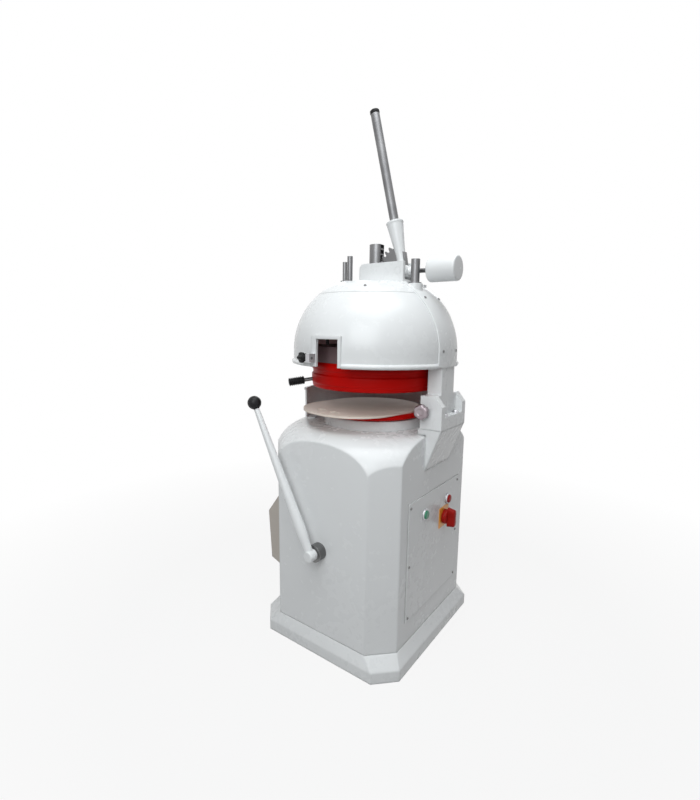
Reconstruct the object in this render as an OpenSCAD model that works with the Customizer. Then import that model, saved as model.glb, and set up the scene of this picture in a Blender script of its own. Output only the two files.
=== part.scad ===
// Dough divider rounder: cabinet, rounding table and lever-pressed dividing head

/* [Base and cabinet] */
// width of the base, left to right
base_w = 620; // [580:1:680]
// depth of the base, front to back
base_d = 704; // [660:1:760]
// corner chamfer of the base
base_chamfer = 71; // [50:1:90]
// height of the upright rim of the base
base_rim = 40; // [25:1:55]
// height where the cabinet starts
base_h = 78; // [65:1:95]
// floor thickness of the base
base_floor = 12; // [8:1:20]
// width of the cabinet
cab_w = 563; // [540:1:580]
// depth of the cabinet
cab_d = 668; // [640:1:690]
// corner chamfer of the cabinet
cab_chamfer = 81; // [60:1:95]
// wall of the cabinet
cab_wall = 10; // [6:1:14]
// height of the flat deck
deck_z = 819; // [810:1:822]
// radius of the rounded shoulder under the deck
shoulder_r = 135; // [110:1:150]
// distance of the shoulder's arc from the axis
shoulder_rc = 258; // [250:1:270]
// half width of the corbel under the neck
corbel_half = 98; // [85:1:100]
// height where the corbel starts
corbel_z = 690; // [650:1:730]
// reach of the corbel's top from the cabinet
corbel_out = 58.5; // [50:0.5:66]

/* [Panel and hood] */
// half width of the right panel
panel_half = 205; // [190:1:220]
// lower edge of the panel
panel_z0 = 165; // [150:1:180]
// upper edge of the panel
panel_z1 = 600; // [580:1:620]
// thickness of the panel
panel_t = 4; // [3:0.5:6]
// radius of the push buttons
button_r = 16; // [14:0.5:17]
// side of the switch plate
switch_plate_s = 78; // [70:1:80]
// radius of the main switch knob
switch_r = 28; // [24:0.5:30]
// how far the hood stands out
hood_out = 89; // [80:1:105]
// wall of the hood
hood_wall = 3; // [2:0.5:5]

/* [Rounding drive] */
// radius of the eccentric shaft
shaft_r = 24; // [20:0.5:27]
// throw of the eccentric
throw = 12; // [8:0.5:14]
// radius of the eccentric pin
pin_r = 18; // [14:0.5:20]
// radius of the driven pulley
pulley_r = 100; // [90:1:110]
// radius of the motor pulley
motor_pulley_r = 40; // [34:1:46]
// thickness of the flat belt
belt_t = 5; // [3:0.5:7]
// width of the flat belt
belt_w = 24; // [18:1:28]
// motor axis, in from the cabinet's left face
motor_in = 56.5; // [50:0.5:62]
// motor axis, front of the centre
motor_y = -100; // [-105:1:-90]
// radius of the motor
motor_r = 74; // [65:1:78]
// height of the rounding lever's axis
round_z = 400; // [396:1:402]
// radius of the rounding shaft
round_r = 14; // [12:0.5:16]
// lift of the table over the lever's full swing
table_lift = 5; // [3:0.5:5.5]
// swing of the rounding lever in degrees
round_swing = 54; // [45:1:60]
// lean of the rounding lever in degrees
round_lean = 27.7; // [24:0.1:32]
// length of the rounding lever
round_len = 578; // [550:1:590]
// radius of the lever's ball
ball_r = 25; // [22:0.5:28]

/* [Table and plate] */
// radius of the rounding table
table_r = 206; // [196:1:210]
// height of the table's underside
table_z = 860; // [858:1:862]
// thickness of the table
table_t = 18; // [14:1:20]
// thickness of the moulding plate
plate_t = 8; // [6:0.5:9]
// outer radius of the guard behind the table
guard_r = 280; // [277:1:286]
// height of the guard above the deck
guard_h = 126; // [110:1:128]
// half width of the moulding plate
plate_half = 190; // [184:1:196]
// reach of the plate's front end from the axis
plate_reach = 280; // [272:1:290]
// corner radius of the front end
plate_corner = 172; // [150:1:180]
// direction of the plate's front end in degrees
plate_dir = 258; // [254:1:262]

/* [Neck and dome] */
// inner face of the neck
neck_x0 = 258; // [254:1:262]
// outer face of the neck
neck_x1 = 312; // [306:1:314]
// half width of the neck
neck_half = 50; // [44:1:58]
// outer edge of the neck's foot
foot_x1 = 340; // [335:1:350]
// height of the foot's underside
foot_z = 841; // [838:1:845]
// top of the foot's flange
foot_top = 886; // [880:1:892]
// height of the foot's block above its flange
foot_block_h = 71; // [60:1:74]
// half depth of the foot
foot_half = 100; // [92:1:104]
// half width of the arm band
band_half = 73; // [66:1:80]
// how far the band stands proud of the dome
band_proud = 4; // [2:0.5:6]
// radius of the dome at its rim
dome_r = 314; // [308:1:318]
// height of the dome's rim
rim_z = 1053; // [1048:1:1056]
// height where the dome starts to curve
dome_z = 1103; // [1098:1:1108]
// radius of the dome's curve
dome_arc = 273; // [270:1:276]
// height of the cap's flat top
cap_z = 1351; // [1347:1:1353]
// height of the seam between dome and cap
seam_z = 1307; // [1303:1:1311]
// wall of the dome
dome_wall = 6; // [4:0.5:8]
// left side of the window
window_x0 = -31; // [-36:1:-27]
// right side of the window
window_x1 = 58; // [50:1:66]
// top of the window
window_z = 1147; // [1140:1:1154]
// width of the window's raised frame
frame_w = 11; // [8:1:14]

/* [Press lever] */
// pivot of the press lever, right of the axis
pivot_x = 119; // [118:0.5:120]
// height of the pivot
pivot_z = 1390; // [1389:0.5:1391]
// module of the sector's teeth
tooth_m = 6.25; // [6.2:0.01:6.28]
// lean of the lever at rest in degrees
lever_lean = 13.8; // [10:0.1:14]
// swing of the press lever in degrees
press_swing = 52; // [45:1:52]
// length of the lever from its pivot to its tip
lever_len = 594; // [560:1:620]
// radius of the lever rod
lever_r = 16.5; // [14:0.5:18]
// radius of the counterweight
weight_r = 43; // [38:0.5:46]
// near end of the counterweight
weight_x0 = 226; // [216:1:232]
// far end of the counterweight
weight_x1 = 332; // [318:1:338]

/* [Dividing head] */
// radius of the spindle
spindle_r = 27.5; // [26.5:0.1:28]
// top of the spindle
spindle_top = 1495; // [1490:1:1500]
// underside of the dividing ring
ring_z = 963; // [960:1:966]
// inner radius of the dividing ring
ring_in = 206; // [204:1:208]
// outer radius of the dividing ring
ring_out = 245; // [240:1:248]
// drop of the ring at full swing
ring_drop = 66; // [58:1:66]
// drop of the knives inside the ring
knife_drop = 38; // [30:1:38]
// thickness of a knife
knife_t = 2.5; // [2:0.1:3]
// gap between knives and stamps
stamp_gap = 1.1; // [0.8:0.1:1.5]
// thickness of the stamps
stamp_t = 15; // [12:1:15]
// height of the stamps' faces
stamp_z = 1001; // [999:1:1002]
// radius of the thick guide post
post_r = 15.5; // [13:0.5:17]
// top of the guide posts
post_top = 1441; // [1430:1:1450]

/* [Fits] */
// running clearance of shafts
run_c = 0.05; // [0.02:0.01:0.08]
// clearance of other moving neighbours
gap_c = 0.3; // [0.2:0.05:0.5]

/* [Hidden] */
$fn = 96;
white = [0.9, 0.9, 0.9];
red = [0.75, 0.05, 0.04];
steel = [0.6, 0.6, 0.62];
black = [0.06, 0.06, 0.06];
cream = [0.82, 0.75, 0.66];
tan_c = [0.8, 0.74, 0.64];
face_x = cab_w/2;
face_y = -cab_d/2;
motor_x = -face_x + motor_in;
foot_block = foot_top + foot_block_h;
knob_at = [neck_x0 + 17, foot_top + 19];
collar_r = table_r - 10;
// rounding drive heights
pulley_z = round_z + 44;
pulley_h = belt_w + 12;
belt_z = pulley_z + 6.5;
shaft_z0 = round_z + 38;
pad_z = round_z + 25;
cam_r0 = 24.1;
cam_k = table_lift/(round_swing*PI/180);
crank_z = deck_z + 3;
crank_t = 12;
hub_z = crank_z + crank_t + 5;
housing_r = 62;
bush_r = 46;
housing_z = 560;
plate_z = table_z + table_t + gap_c;
motor_top = pulley_z - 19;
// hood round the motor's end
hood_y0 = motor_y - 125;
hood_y1 = motor_y + 125;
hood_z0 = motor_top - 235;
hood_z1 = motor_top + 115;
hood_flange = 23;
// controls on the panel, across and up
green_at = [-88, panel_z1 - 72];
red_at = [104, panel_z1 - 70];
switch_at = [73, panel_z1 - 132];
// lever plane in front of the cabinet
boss_len = 32;
boss_r = 31;
hub_len = 34;
hub_r = round_r + 6.5;
arm_r0 = hub_len/2 - 1.5;
arm_r1 = 19.5;
arm_s = boss_r + 8;
lever_y = face_y - boss_len - gap_c - hub_len/2;
// neck and dome
dome_rc = dome_r - dome_arc;
band_in = dome_arc - (dome_r - neck_x0);
// sector and rack
rack_x = 19;
pitch_r = pivot_x - rack_x;
teeth = round(2*pitch_r/tooth_m);
m = 2*pitch_r/teeth;
pitch = PI*m;
backlash = 0.3;
add = 0.95*m;
ded = 1.25*m;
sweep_r = pitch_r + add + 3;
press_drop = pitch_r*press_swing*PI/180;
bracket_z = cap_z + 10;
bracket_top = cap_z + 72;
cheek_in = spindle_r + 2.5;
cheek_out = cheek_in + 14;
pivot_r = 12;
sector_half = 11;
slot_half = sector_half + 1;
// undersides of the bosses in the cap
bush_z = cap_z - 61;
spindle_bush_z = cap_z - 96;
// dividing head stack
stamp_rod_r = 5;
knife_z0 = stamp_z + 2;
knife_z1 = stamp_z + stamp_t + knife_drop + 2;
carrier_t = 8;
head_z = knife_z1 + carrier_t + press_drop - ring_drop + 3;
head_t = 10;
disc_z = head_z + head_t + 4;
disc_t = 12;
ring_top = ring_z + 97;
knife_gap = 0.25;
grid_r = ring_in - 3;
ring1 = grid_r*sqrt(0.1);
ring2 = grid_r*sqrt(0.4);
head_r = 178;
knife_rod_r = 6;
knife_rod_p = 188;
post_at = [186, -35];
post_seat = cap_z - 9;
carrier_r = ring_out - 7;
thin_r = 10;
stop_r = 8;
post_left = [-54.5, -95.9];
stop_left = [-69.8, -107.1];
bush_left = [-62.1, -101.5];
bush_left_r = 26;
spindle_bush_r = 36;
stud_a = 228;
stud_drop = 8;
stud_r = 7;
block_a = 262.5;
block_r = dome_r + 5;
star_out = 24;
bolt_spots = [for (s = [-1, 1]) [foot_x1 - 14, s*46]];
panel_screws = [for (s = [-1, 1]) for (z = [panel_z1 - 17, panel_z0 + 205, panel_z0 + 12])
    [s*(panel_half - 12), z]];

function octa(w, d, c) = [[-w/2 + c, -d/2], [w/2 - c, -d/2], [w/2, -d/2 + c], [w/2, d/2 - c],
    [w/2 - c, d/2], [-w/2 + c, d/2], [-w/2, d/2 - c], [-w/2, -d/2 + c]];

module tube(ro, ri, h) difference() {
    cylinder(r=ro, h=h);
    translate([0, 0, -1]) cylinder(r=ri, h=h + 2);
}

// extrudes an XZ outline from y0 to y1
module slab(y0, y1) translate([0, y1, 0]) rotate([90, 0, 0]) linear_extrude(y1 - y0) children();

// cylinder along Y at x and z
module bar_y(x, z, r, y0, y1) translate([x, y1, z]) rotate([90, 0, 0]) cylinder(r=r, h=y1 - y0);

// cylinder along X at y and z
module bar_x(y, z, r, x0, x1) translate([x0, y, z]) rotate([0, 90, 0]) cylinder(r=r, h=x1 - x0);

module box(x0, x1, y0, y1, z0, z1) translate([x0, y0, z0]) cube([x1 - x0, y1 - y0, z1 - z0]);

module base_plinth() color(white) difference() {
    hull() {
        linear_extrude(base_rim) polygon(octa(base_w, base_d, base_chamfer));
        linear_extrude(base_h) polygon(octa(cab_w, cab_d, cab_chamfer));
    }
    translate([0, 0, base_floor]) linear_extrude(base_h) polygon(octa(cab_w - 40, cab_d - 40,
        cab_chamfer - 12));
}

module cabinet_body(inset) intersection() {
    translate([0, 0, base_h]) linear_extrude(deck_z - base_h - inset)
        polygon(octa(cab_w - 2*inset, cab_d - 2*inset, cab_chamfer - 0.586*inset));
    translate([0, 0, base_h]) rotate_extrude() union() {
        square([shoulder_rc + shoulder_r - inset, deck_z - shoulder_r - base_h]);
        square([shoulder_rc, deck_z - base_h - inset]);
        translate([shoulder_rc, deck_z - shoulder_r - base_h]) circle(shoulder_r - inset);
    }
}

module cabinet() color(white) difference() {
    cabinet_body(0);
    translate([0, 0, -1]) cabinet_body(cab_wall);
    translate([0, 0, deck_z - 40]) cylinder(r=housing_r, h=60);
    bar_y(0, round_z, 20, face_y - 5, face_y + cab_wall + 5);
    box(-face_x - 5, -face_x + cab_wall + 5, hood_y0 + 20, hood_y1 - 20, hood_z0 + 25, hood_z1 - 25);
    box(face_x - cab_wall - 5, face_x + 5, -panel_half + 22, panel_half - 22, panel_z0 + 22, panel_z1 - 22);
}

// bracket hooked over the deck's edge, under the neck
module arm_corbel() color(white) slab(-corbel_half, corbel_half) polygon([[face_x, corbel_z],
    [face_x + 1, corbel_z],
    [face_x + corbel_out, foot_z], [neck_x0 - 8, foot_z], [neck_x0 - 8, deck_z], [face_x, deck_z]]);

// curved guard screwed to the deck, open to the front
module table_guard() color(white) rotate(26) rotate_extrude(angle=181) union() {
    translate([guard_r - 40, deck_z]) square([40, 4]);
    translate([guard_r - 6, deck_z]) square([6, guard_h]);
    translate([guard_r - 6, deck_z + guard_h - 10]) square([10, 10]);
}

module deck_collar() color(white) translate([0, 0, deck_z]) tube(collar_r, collar_r - 16,
    table_z - deck_z - 5);

module drive_housing() color(steel) difference() {
    union() {
        translate([0, 0, housing_z]) cylinder(r=housing_r, h=deck_z - housing_z);
        translate([0, 0, deck_z - cab_wall - 15]) cylinder(r=housing_r + 34, h=14);
    }
    translate([0, 0, housing_z - 1]) cylinder(r=bush_r, h=deck_z);
}

module shaft_bushes() color([0.72, 0.55, 0.25]) {
    translate([0, 0, housing_z]) tube(bush_r, shaft_r + run_c, 46);
    translate([0, 0, deck_z - 52]) tube(bush_r, shaft_r + run_c, 46);
}

module motor() color([0.3, 0.34, 0.38]) translate([motor_x, motor_y, 0]) difference() {
    union() {
        translate([0, 0, motor_top - 195]) cylinder(r=motor_r, h=185);
        translate([0, 0, motor_top - 12]) cylinder(r=motor_r - 8, h=12);
        translate([0, 0, motor_top - 205]) cylinder(r=motor_r - 6, h=12);
    }
    translate([0, 0, motor_top - 30]) cylinder(r=12 + run_c, h=40);
}

module motor_bracket() color(steel) difference() {
    union() {
        box(motor_x - 41, motor_x + 75, motor_y - 90, motor_y + 82, motor_top, motor_top + 8);
        box(motor_x + 35, motor_x + 75, face_y + cab_wall, motor_y - 80, motor_top, motor_top + 8);
        box(motor_x + 35, motor_x + 75, face_y + cab_wall, face_y + cab_wall + 10, motor_top - 90,
            motor_top + 8);
    }
    translate([motor_x, motor_y, motor_top - 1]) cylinder(r=22, h=10);
}

module motor_pulley() color(steel) translate([motor_x, motor_y, 0]) union() {
    translate([0, 0, pulley_z]) cylinder(r=motor_pulley_r, h=pulley_h);
    translate([0, 0, motor_top - 28]) cylinder(r=12, h=pulley_z - motor_top + 30);
}

// flat belt: an arc round each pulley, joined by straight runs
span = sqrt(motor_x*motor_x + motor_y*motor_y);
belt_dir = atan2(motor_y, motor_x);
belt_phi = acos((pulley_r - motor_pulley_r)/span);
function belt_line(e) = concat(
    [for (i = [0:48]) let (a = belt_phi + (360 - 2*belt_phi)*i/48) (pulley_r + e)*[cos(a), sin(a)]],
    [for (i = [0:32]) let (a = -belt_phi + 2*belt_phi*i/32) [span, 0] + (motor_pulley_r + e)*[cos(a),
        sin(a)]]);
module drive_belt() color(black) translate([0, 0, belt_z]) rotate(belt_dir) linear_extrude(belt_w)
    difference() {
    polygon(belt_line(gap_c + belt_t));
    polygon(belt_line(gap_c));
}

module driven_pulley() color(steel) difference() {
    translate([0, 0, pulley_z]) cylinder(r=pulley_r, h=pulley_h);
    translate([0, 0, pulley_z - 1]) cylinder(r=shaft_r, h=pulley_h + 2);
    translate([0, 0, pulley_z + 12]) tube(pulley_r - 12, shaft_r + 14, pulley_h);
}

module contactor_box() color([0.5, 0.5, 0.52]) union() {
    box(face_x - 105, face_x - 24, -120, 130, panel_z1 - 185, panel_z1 - 30);
    for (p = [[-112, 176], [122, 176], [10, 40], [-40, 176]]) bar_x(p[0], panel_z1 - p[1], 5,
        face_x - 25, face_x);
}

module shaft_pedestal() color(steel) difference() {
    union() {
        box(-35, 35, 28, 42, base_floor, round_z + 28);
        box(-60, 60, 14, 56, base_floor, base_floor + 12);
    }
    bar_y(0, round_z, round_r + run_c, 20, 50);
}

module lever_boss() color(steel) difference() {
    union() {
        bar_y(0, round_z, boss_r, face_y - boss_len, face_y);
        bar_y(0, round_z, 20, face_y - 1, face_y + cab_wall + 8);
    }
    bar_y(0, round_z, round_r + run_c, face_y - boss_len - 1, face_y + cab_wall + 20);
}

module control_panel() color(white) difference() {
    box(face_x, face_x + panel_t, -panel_half, panel_half, panel_z0, panel_z1);
    for (p = [green_at, red_at]) bar_x(p[0], p[1], button_r + run_c, face_x - 1, face_x + panel_t + 1);
    bar_x(switch_at[0], switch_at[1], 8, face_x - 1, face_x + panel_t + 1);
}

module cover_screws() color(steel) {
    for (p = panel_screws) bar_x(p[0], p[1], 5, face_x + panel_t, face_x + panel_t + 3);
    for (y = [hood_y0 - 13, hood_y1 + 13]) for (z = [hood_z0 + 40, hood_z1 - 50]) bar_x(y, z, 5,
        -face_x - hood_wall - 3, -face_x - hood_wall);
}

module switch_plate() color([0.95, 0.6, 0.1]) difference() {
    box(face_x + panel_t, face_x + panel_t + 3, switch_at[0] - switch_plate_s/2,
        switch_at[0] + switch_plate_s/2,
        switch_at[1] - switch_plate_s/2, switch_at[1] + switch_plate_s/2);
    bar_x(switch_at[0], switch_at[1], 8, face_x, face_x + panel_t + 5);
}

module switch_knob() color(red) union() {
    bar_x(switch_at[0], switch_at[1], 6, face_x - 20, face_x + panel_t + 6);
    bar_x(switch_at[0], switch_at[1], switch_r, face_x + panel_t + 3 + gap_c, face_x + panel_t + 23);
    box(face_x + panel_t + 20, face_x + panel_t + 50, switch_at[0] - 12, switch_at[0] + 12,
        switch_at[1] - switch_r - 10, switch_at[1] + switch_r + 10);
}

module button_bezels() color(steel) for (p = [green_at, red_at]) difference() {
    bar_x(p[0], p[1], button_r + 5, face_x + panel_t, face_x + panel_t + 7);
    bar_x(p[0], p[1], button_r + run_c, face_x, face_x + panel_t + 8);
}

module push_button(p) union() {
    bar_x(p[0], p[1], button_r, face_x - 10, face_x + panel_t + 13);
    bar_x(p[0], p[1], button_r + 3, face_x - 12, face_x - 5);
}
module green_button() color([0.05, 0.5, 0.2]) push_button(green_at);
module red_button() color(red) push_button(red_at);

module hood_outline(inset) polygon([[-face_x + 1, hood_z1 - 2*inset], [-face_x - hood_out + inset,
    hood_z1 - 120 - inset/2],
    [-face_x - hood_out + 15 + inset, hood_z0 + 26 + inset], [-face_x + 1, hood_z0 + 2*inset]]);

module left_hood() color(tan_c) difference() {
    union() {
        slab(hood_y0, hood_y1) hood_outline(0);
        box(-face_x - hood_wall, -face_x, hood_y0 - hood_flange, hood_y1 + hood_flange, hood_z0 - 10,
            hood_z1 + 10);
    }
    slab(hood_y0 + hood_wall, hood_y1 - hood_wall) hood_outline(hood_wall);
    box(-face_x, -face_x + 10, hood_y0 - 40, hood_y1 + 40, hood_z0 - 20, hood_z1 + 20);
    box(-face_x - hood_wall - 1, -face_x + 1, hood_y0 + hood_wall, hood_y1 - hood_wall, hood_z0 + 15,
        hood_z1 - 20);
}

// 2D outline of the dome's curve at radius r
module dome_disc(r) translate([dome_rc, dome_z]) circle(r, $fn=180);

module band_solid() intersection() {
    rotate_extrude() union() {
        intersection() {
            difference() {
                dome_disc(dome_arc + band_proud);
                dome_disc(band_in);
            }
            translate([dome_rc + 60, dome_z]) square([400, 400]);
        }
        translate([neck_x0, rim_z]) square([dome_r + band_proud - neck_x0, dome_z - rim_z]);
    }
    box(0, 400, -band_half, band_half, rim_z - 5, cap_z);
}

// room for the sector's swing
module sector_pocket() intersection() {
    bar_y(pivot_x, pivot_z, sweep_r, -sector_half - 3, sector_half + 3);
    box(0, pivot_x + 18, -20, 20, pivot_z - 190, pivot_z + 110);
}

module head_arm() color(white) difference() {
    union() {
        band_solid();
        // cap with its flat top
        rotate_extrude() difference() {
            intersection() {
                dome_disc(dome_arc);
                translate([0, seam_z]) square([260, cap_z - seam_z]);
            }
            intersection() {
                dome_disc(dome_arc - 16);
                translate([-1, seam_z - 10]) square([260, cap_z - seam_z - 8]);
            }
        }
        // bosses and ribs under the cap
        translate([0, 0, spindle_bush_z]) cylinder(r=spindle_bush_r + 10, h=cap_z - spindle_bush_z - 5);
        translate([post_at[0], post_at[1], bush_z]) cylinder(r=post_r + 12, h=post_seat - bush_z);
        translate([bush_left[0], bush_left[1], bush_z]) cylinder(r=bush_left_r + 8, h=cap_z - bush_z - 5);
        for (s = [-1, 1]) box(20, 190, s*38 - 8, s*38 + 8, cap_z - 55, cap_z - 8);
        // neck and foot
        box(neck_x0, neck_x1, -neck_half, neck_half, foot_top - 5, dome_z);
        box(neck_x0, neck_x1, -foot_half, foot_half, foot_top - 5, foot_block);
        box(neck_x0, foot_x1, -foot_half, foot_half, foot_z, foot_top);
        for (s = [-1, 1]) slab(s*(foot_half - 14) - 14, s*(foot_half - 14) + 14) polygon([[neck_x1 - 5,
            foot_top - 5],
            [foot_x1, foot_top - 5], [foot_x1, foot_block - 34], [neck_x1, foot_block], [neck_x1 - 5,
                foot_block]]);
    }
    translate([0, 0, spindle_bush_z - 5]) cylinder(r=spindle_bush_r, h=cap_z - spindle_bush_z - 27);
    translate([0, 0, spindle_bush_z - 5]) cylinder(r=spindle_r + 2, h=140);
    translate([post_at[0], post_at[1], bush_z - 70]) cylinder(r=post_r + 6, h=200);
    translate([post_at[0], post_at[1], post_seat]) cylinder(r=post_r + 12, h=60);
    translate([bush_left[0], bush_left[1], bush_z - 10]) cylinder(r=bush_left_r, h=100);
    sector_pocket();
    bar_y(knob_at[0], knob_at[1], 6 + run_c, -foot_half - 10, -foot_half + 30);
    for (p = bolt_spots) translate([p[0], p[1], foot_z - 1]) cylinder(r=6, h=60);
}

module foot_bolts() color(steel) for (p = bolt_spots) translate([p[0], p[1], 0]) union() {
    translate([0, 0, foot_top]) cylinder(r=11, h=9);
    translate([0, 0, foot_z]) cylinder(r=6, h=foot_top - foot_z + 1);
}

module foot_knob() color(steel) difference() {
    union() {
        bar_y(knob_at[0], knob_at[1], 6, -foot_half - 20, -foot_half + 28);
        bar_y(knob_at[0], knob_at[1], 13, -foot_half - 13, -foot_half - gap_c);
        bar_y(knob_at[0], knob_at[1], 28, -foot_half - 36, -foot_half - 12);
    }
    for (a = [0:60:300]) bar_y(knob_at[0] + 34*cos(a), knob_at[1] + 34*sin(a), 10, -foot_half - 40,
        -foot_half - 10);
}

module window_box(grow, left) box(window_x0 - grow - left, window_x1 + grow, -400, -200, rim_z - 20,
    window_z + grow);

module dome_cover() color(white) difference() {
    union() {
        rotate_extrude() union() {
            intersection() {
                difference() {
                    dome_disc(dome_arc);
                    dome_disc(dome_arc - dome_wall);
                }
                translate([dome_rc + 100, dome_z]) square([300, seam_z - dome_z]);
            }
            translate([dome_r - dome_wall, rim_z]) square([dome_wall, dome_z - rim_z]);
            translate([dome_r - 1, rim_z + 5]) circle(5);
        }
        intersection() {
            translate([0, 0, rim_z]) tube(block_r, dome_r - 2, window_z - rim_z + frame_w);
            window_box(frame_w, 13);
        }
    }
    window_box(0, 0);
    box(0, 400, -band_half - gap_c, band_half + gap_c, rim_z - 10, cap_z + 49);
}

// screw head standing on the dome's curve at lift angle e and turn a
module dome_screw(a, e, extra) rotate(a) translate([dome_rc, 0, dome_z]) rotate([0, 90 - e, 0])
    translate([0, 0, dome_arc + extra + 0.1]) cylinder(r=5, h=3);

module dome_screws() color(steel) {
    for (s = [-1, 1]) {
        dome_screw(s*9.5, 1.5, band_proud);
        dome_screw(s*12.8, 43, band_proud);
    }
    for (a = [200, 292]) dome_screw(a, 56, 0);
}

module block_frame() rotate(block_a) translate([dome_r, 0, rim_z + 30]) children();

module setting_block() color(steel) difference() {
    block_frame() translate([-4, -9, -14]) cube([38, 18, 28]);
    translate([0, 0, rim_z - 53]) cylinder(r=block_r, h=200);
    block_frame() translate([star_out, 20, 0]) rotate([90, 0, 0]) cylinder(r=5 + run_c, h=60);
}

module setting_screw() color(steel) block_frame() translate([star_out, 12, 0]) rotate([90, 0, 0])
    cylinder(r=5, h=42);

module star_knob() color(black) block_frame() translate([star_out, -24, 0]) rotate([90, 0, 0]) difference() {
    union() {
        cylinder(r=15, h=26);
        for (a = [0:72:288]) rotate(a) translate([14, 0, 3]) cylinder(r=5.5, h=20);
        translate([0, 0, -8]) cylinder(r=9, h=9);
    }
    translate([0, 0, -10]) cylinder(r=5, h=16);
}

module pivot_bracket() color(white) difference() {
    union() {
        box(-48, 142, -cheek_out, cheek_out, cap_z, bracket_top - 20);
        box(-28, 142, -cheek_out, cheek_out, cap_z, bracket_top);
        bar_y(-28, bracket_top - 20, 20, -cheek_out, cheek_out);
    }
    box(-36, 200, -cheek_in, cheek_in, bracket_z, bracket_top + 50);
    translate([0, 0, cap_z - 1]) cylinder(r=spindle_r + 2, h=20);
    bar_y(pivot_x, pivot_z, pivot_r, -100, 100);
    sector_pocket();
}

module pivot_pin() color(steel) bar_y(pivot_x, pivot_z, pivot_r, -cheek_out, cheek_out);

module guide_bushes() color(steel) {
    translate([0, 0, spindle_bush_z]) tube(spindle_bush_r, spindle_r + run_c, cap_z - spindle_bush_z - 33);
    translate([post_at[0], post_at[1], 0]) difference() {
        union() {
            translate([0, 0, bush_z]) cylinder(r=post_r + 6, h=post_seat - bush_z);
            translate([0, 0, post_seat]) cylinder(r=post_r + 7, h=4);
        }
        translate([0, 0, bush_z - 10]) cylinder(r=post_r + run_c, h=100);
    }
    difference() {
        translate([bush_left[0], bush_left[1], bush_z]) cylinder(r=bush_left_r, h=cap_z - bush_z + 6);
        translate([post_left[0], post_left[1], bush_z - 10]) cylinder(r=thin_r + run_c, h=100);
        translate([stop_left[0], stop_left[1], bush_z - 10]) cylinder(r=stop_r + run_c, h=100);
    }
}

// frame of the press lever: +Z along the lever
module lever_frame() translate([pivot_x, 0, pivot_z]) rotate([0, -lever_lean, 0]) children();

module lever_casting() color(white) difference() {
    union() {
        bar_y(pivot_x, pivot_z, 26, -cheek_in + 2, cheek_in - 2);
        lever_frame() cylinder(r=17, h=62);
        lever_frame() translate([0, 0, 60]) cylinder(r1=17, r2=31, h=118);
        lever_frame() translate([0, 0, 178]) cylinder(r1=32.5, r2=31, h=6);
        bar_x(0, pivot_z, 14, pivot_x + 20, pivot_x + 46);
    }
    bar_y(pivot_x, pivot_z, pivot_r + run_c, -60, 60);
    lever_frame() translate([0, 0, 124]) cylinder(r=lever_r, h=100);
    bar_x(0, pivot_z, 8, pivot_x + 30, pivot_x + 60);
    // slot for the sector's plate
    slab(-sector_half, sector_half) sector_outline();
}

// involute helpers: flank angle in degrees at radius r
function inv_deg(r) = let (c = pitch_r*cos(20)/r, a = acos(c > 1 ? 1 : c)) tan(a)*180/PI - a;
tooth_half = 90/teeth - (backlash/2/pitch_r)*180/PI + tan(20)*180/PI - 20;
flank = [for (i = [0:6]) (pitch_r - ded) + (ded + add)*i/6];
function spot(a, r) = [pivot_x - r*cos(a), pivot_z + r*sin(a)];
function tooth(c) = concat(
    [for (i = [0:6]) spot(c - tooth_half + inv_deg(max(flank[i], pitch_r*cos(20))), flank[i])],
    [for (i = [6:-1:0]) spot(c + tooth_half - inv_deg(max(flank[i], pitch_r*cos(20))), flank[i])]);

sector_n = 7;
module sector_outline() polygon(concat([[pivot_x + 6, pivot_z - 16], spot(-23, pitch_r - ded)],
    [for (k = [-1:sector_n - 2]) each tooth(k*360/teeth)],
    [spot((sector_n - 1.6)*360/teeth + 4, pitch_r - ded), [pivot_x + 4, pivot_z + 70], [pivot_x + 14,
        pivot_z + 18]]));

module toothed_sector() color(steel) difference() {
    slab(-sector_half, sector_half) sector_outline();
    bar_y(pivot_x, pivot_z, pivot_r + run_c, -60, 60);
}

module lever_rod() color(steel) lever_frame() translate([0, 0, 124]) cylinder(r=lever_r,
    h=lever_len - 124 - 14);

module lever_cap() color(black) lever_frame() translate([0, 0, lever_len - 14]) cylinder(r=lever_r + 1, h=14);

module balance_rod() color(steel) bar_x(0, pivot_z, 8, pivot_x + 30, weight_x0 + 26);

module counterweight() color(white) difference() {
    bar_x(0, pivot_z, weight_r, weight_x0, weight_x1);
    bar_x(0, pivot_z, 8, weight_x0 - 1, weight_x0 + 26);
}

// rack space outline between two teeth, widening outwards
module rack_space(z) polygon([[rack_x - ded, z - pitch/4 - backlash/2 + ded*tan(20)],
    [spindle_r + 2, z - pitch/4 - backlash/2 - (spindle_r + 2 - rack_x)*tan(20)],
    [spindle_r + 2, z + pitch/4 + backlash/2 + (spindle_r + 2 - rack_x)*tan(20)],
    [rack_x - ded, z + pitch/4 + backlash/2 - ded*tan(20)]]);

module press_spindle() color(steel) difference() {
    union() {
        translate([0, 0, head_z + head_t]) cylinder(r=spindle_r, h=spindle_top - head_z - head_t);
        translate([0, 0, head_z]) cylinder(r=14, h=head_t + 1);
    }
    box(rack_x + add, spindle_r + 5, -slot_half, slot_half, pivot_z - 1.5*pitch, spindle_top + 1);
    for (k = [-1:5]) slab(-slot_half, slot_half) rack_space(pivot_z + k*pitch);
}

module press_head() color(steel) translate([0, 0, head_z]) tube(head_r, 14, head_t);

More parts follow.
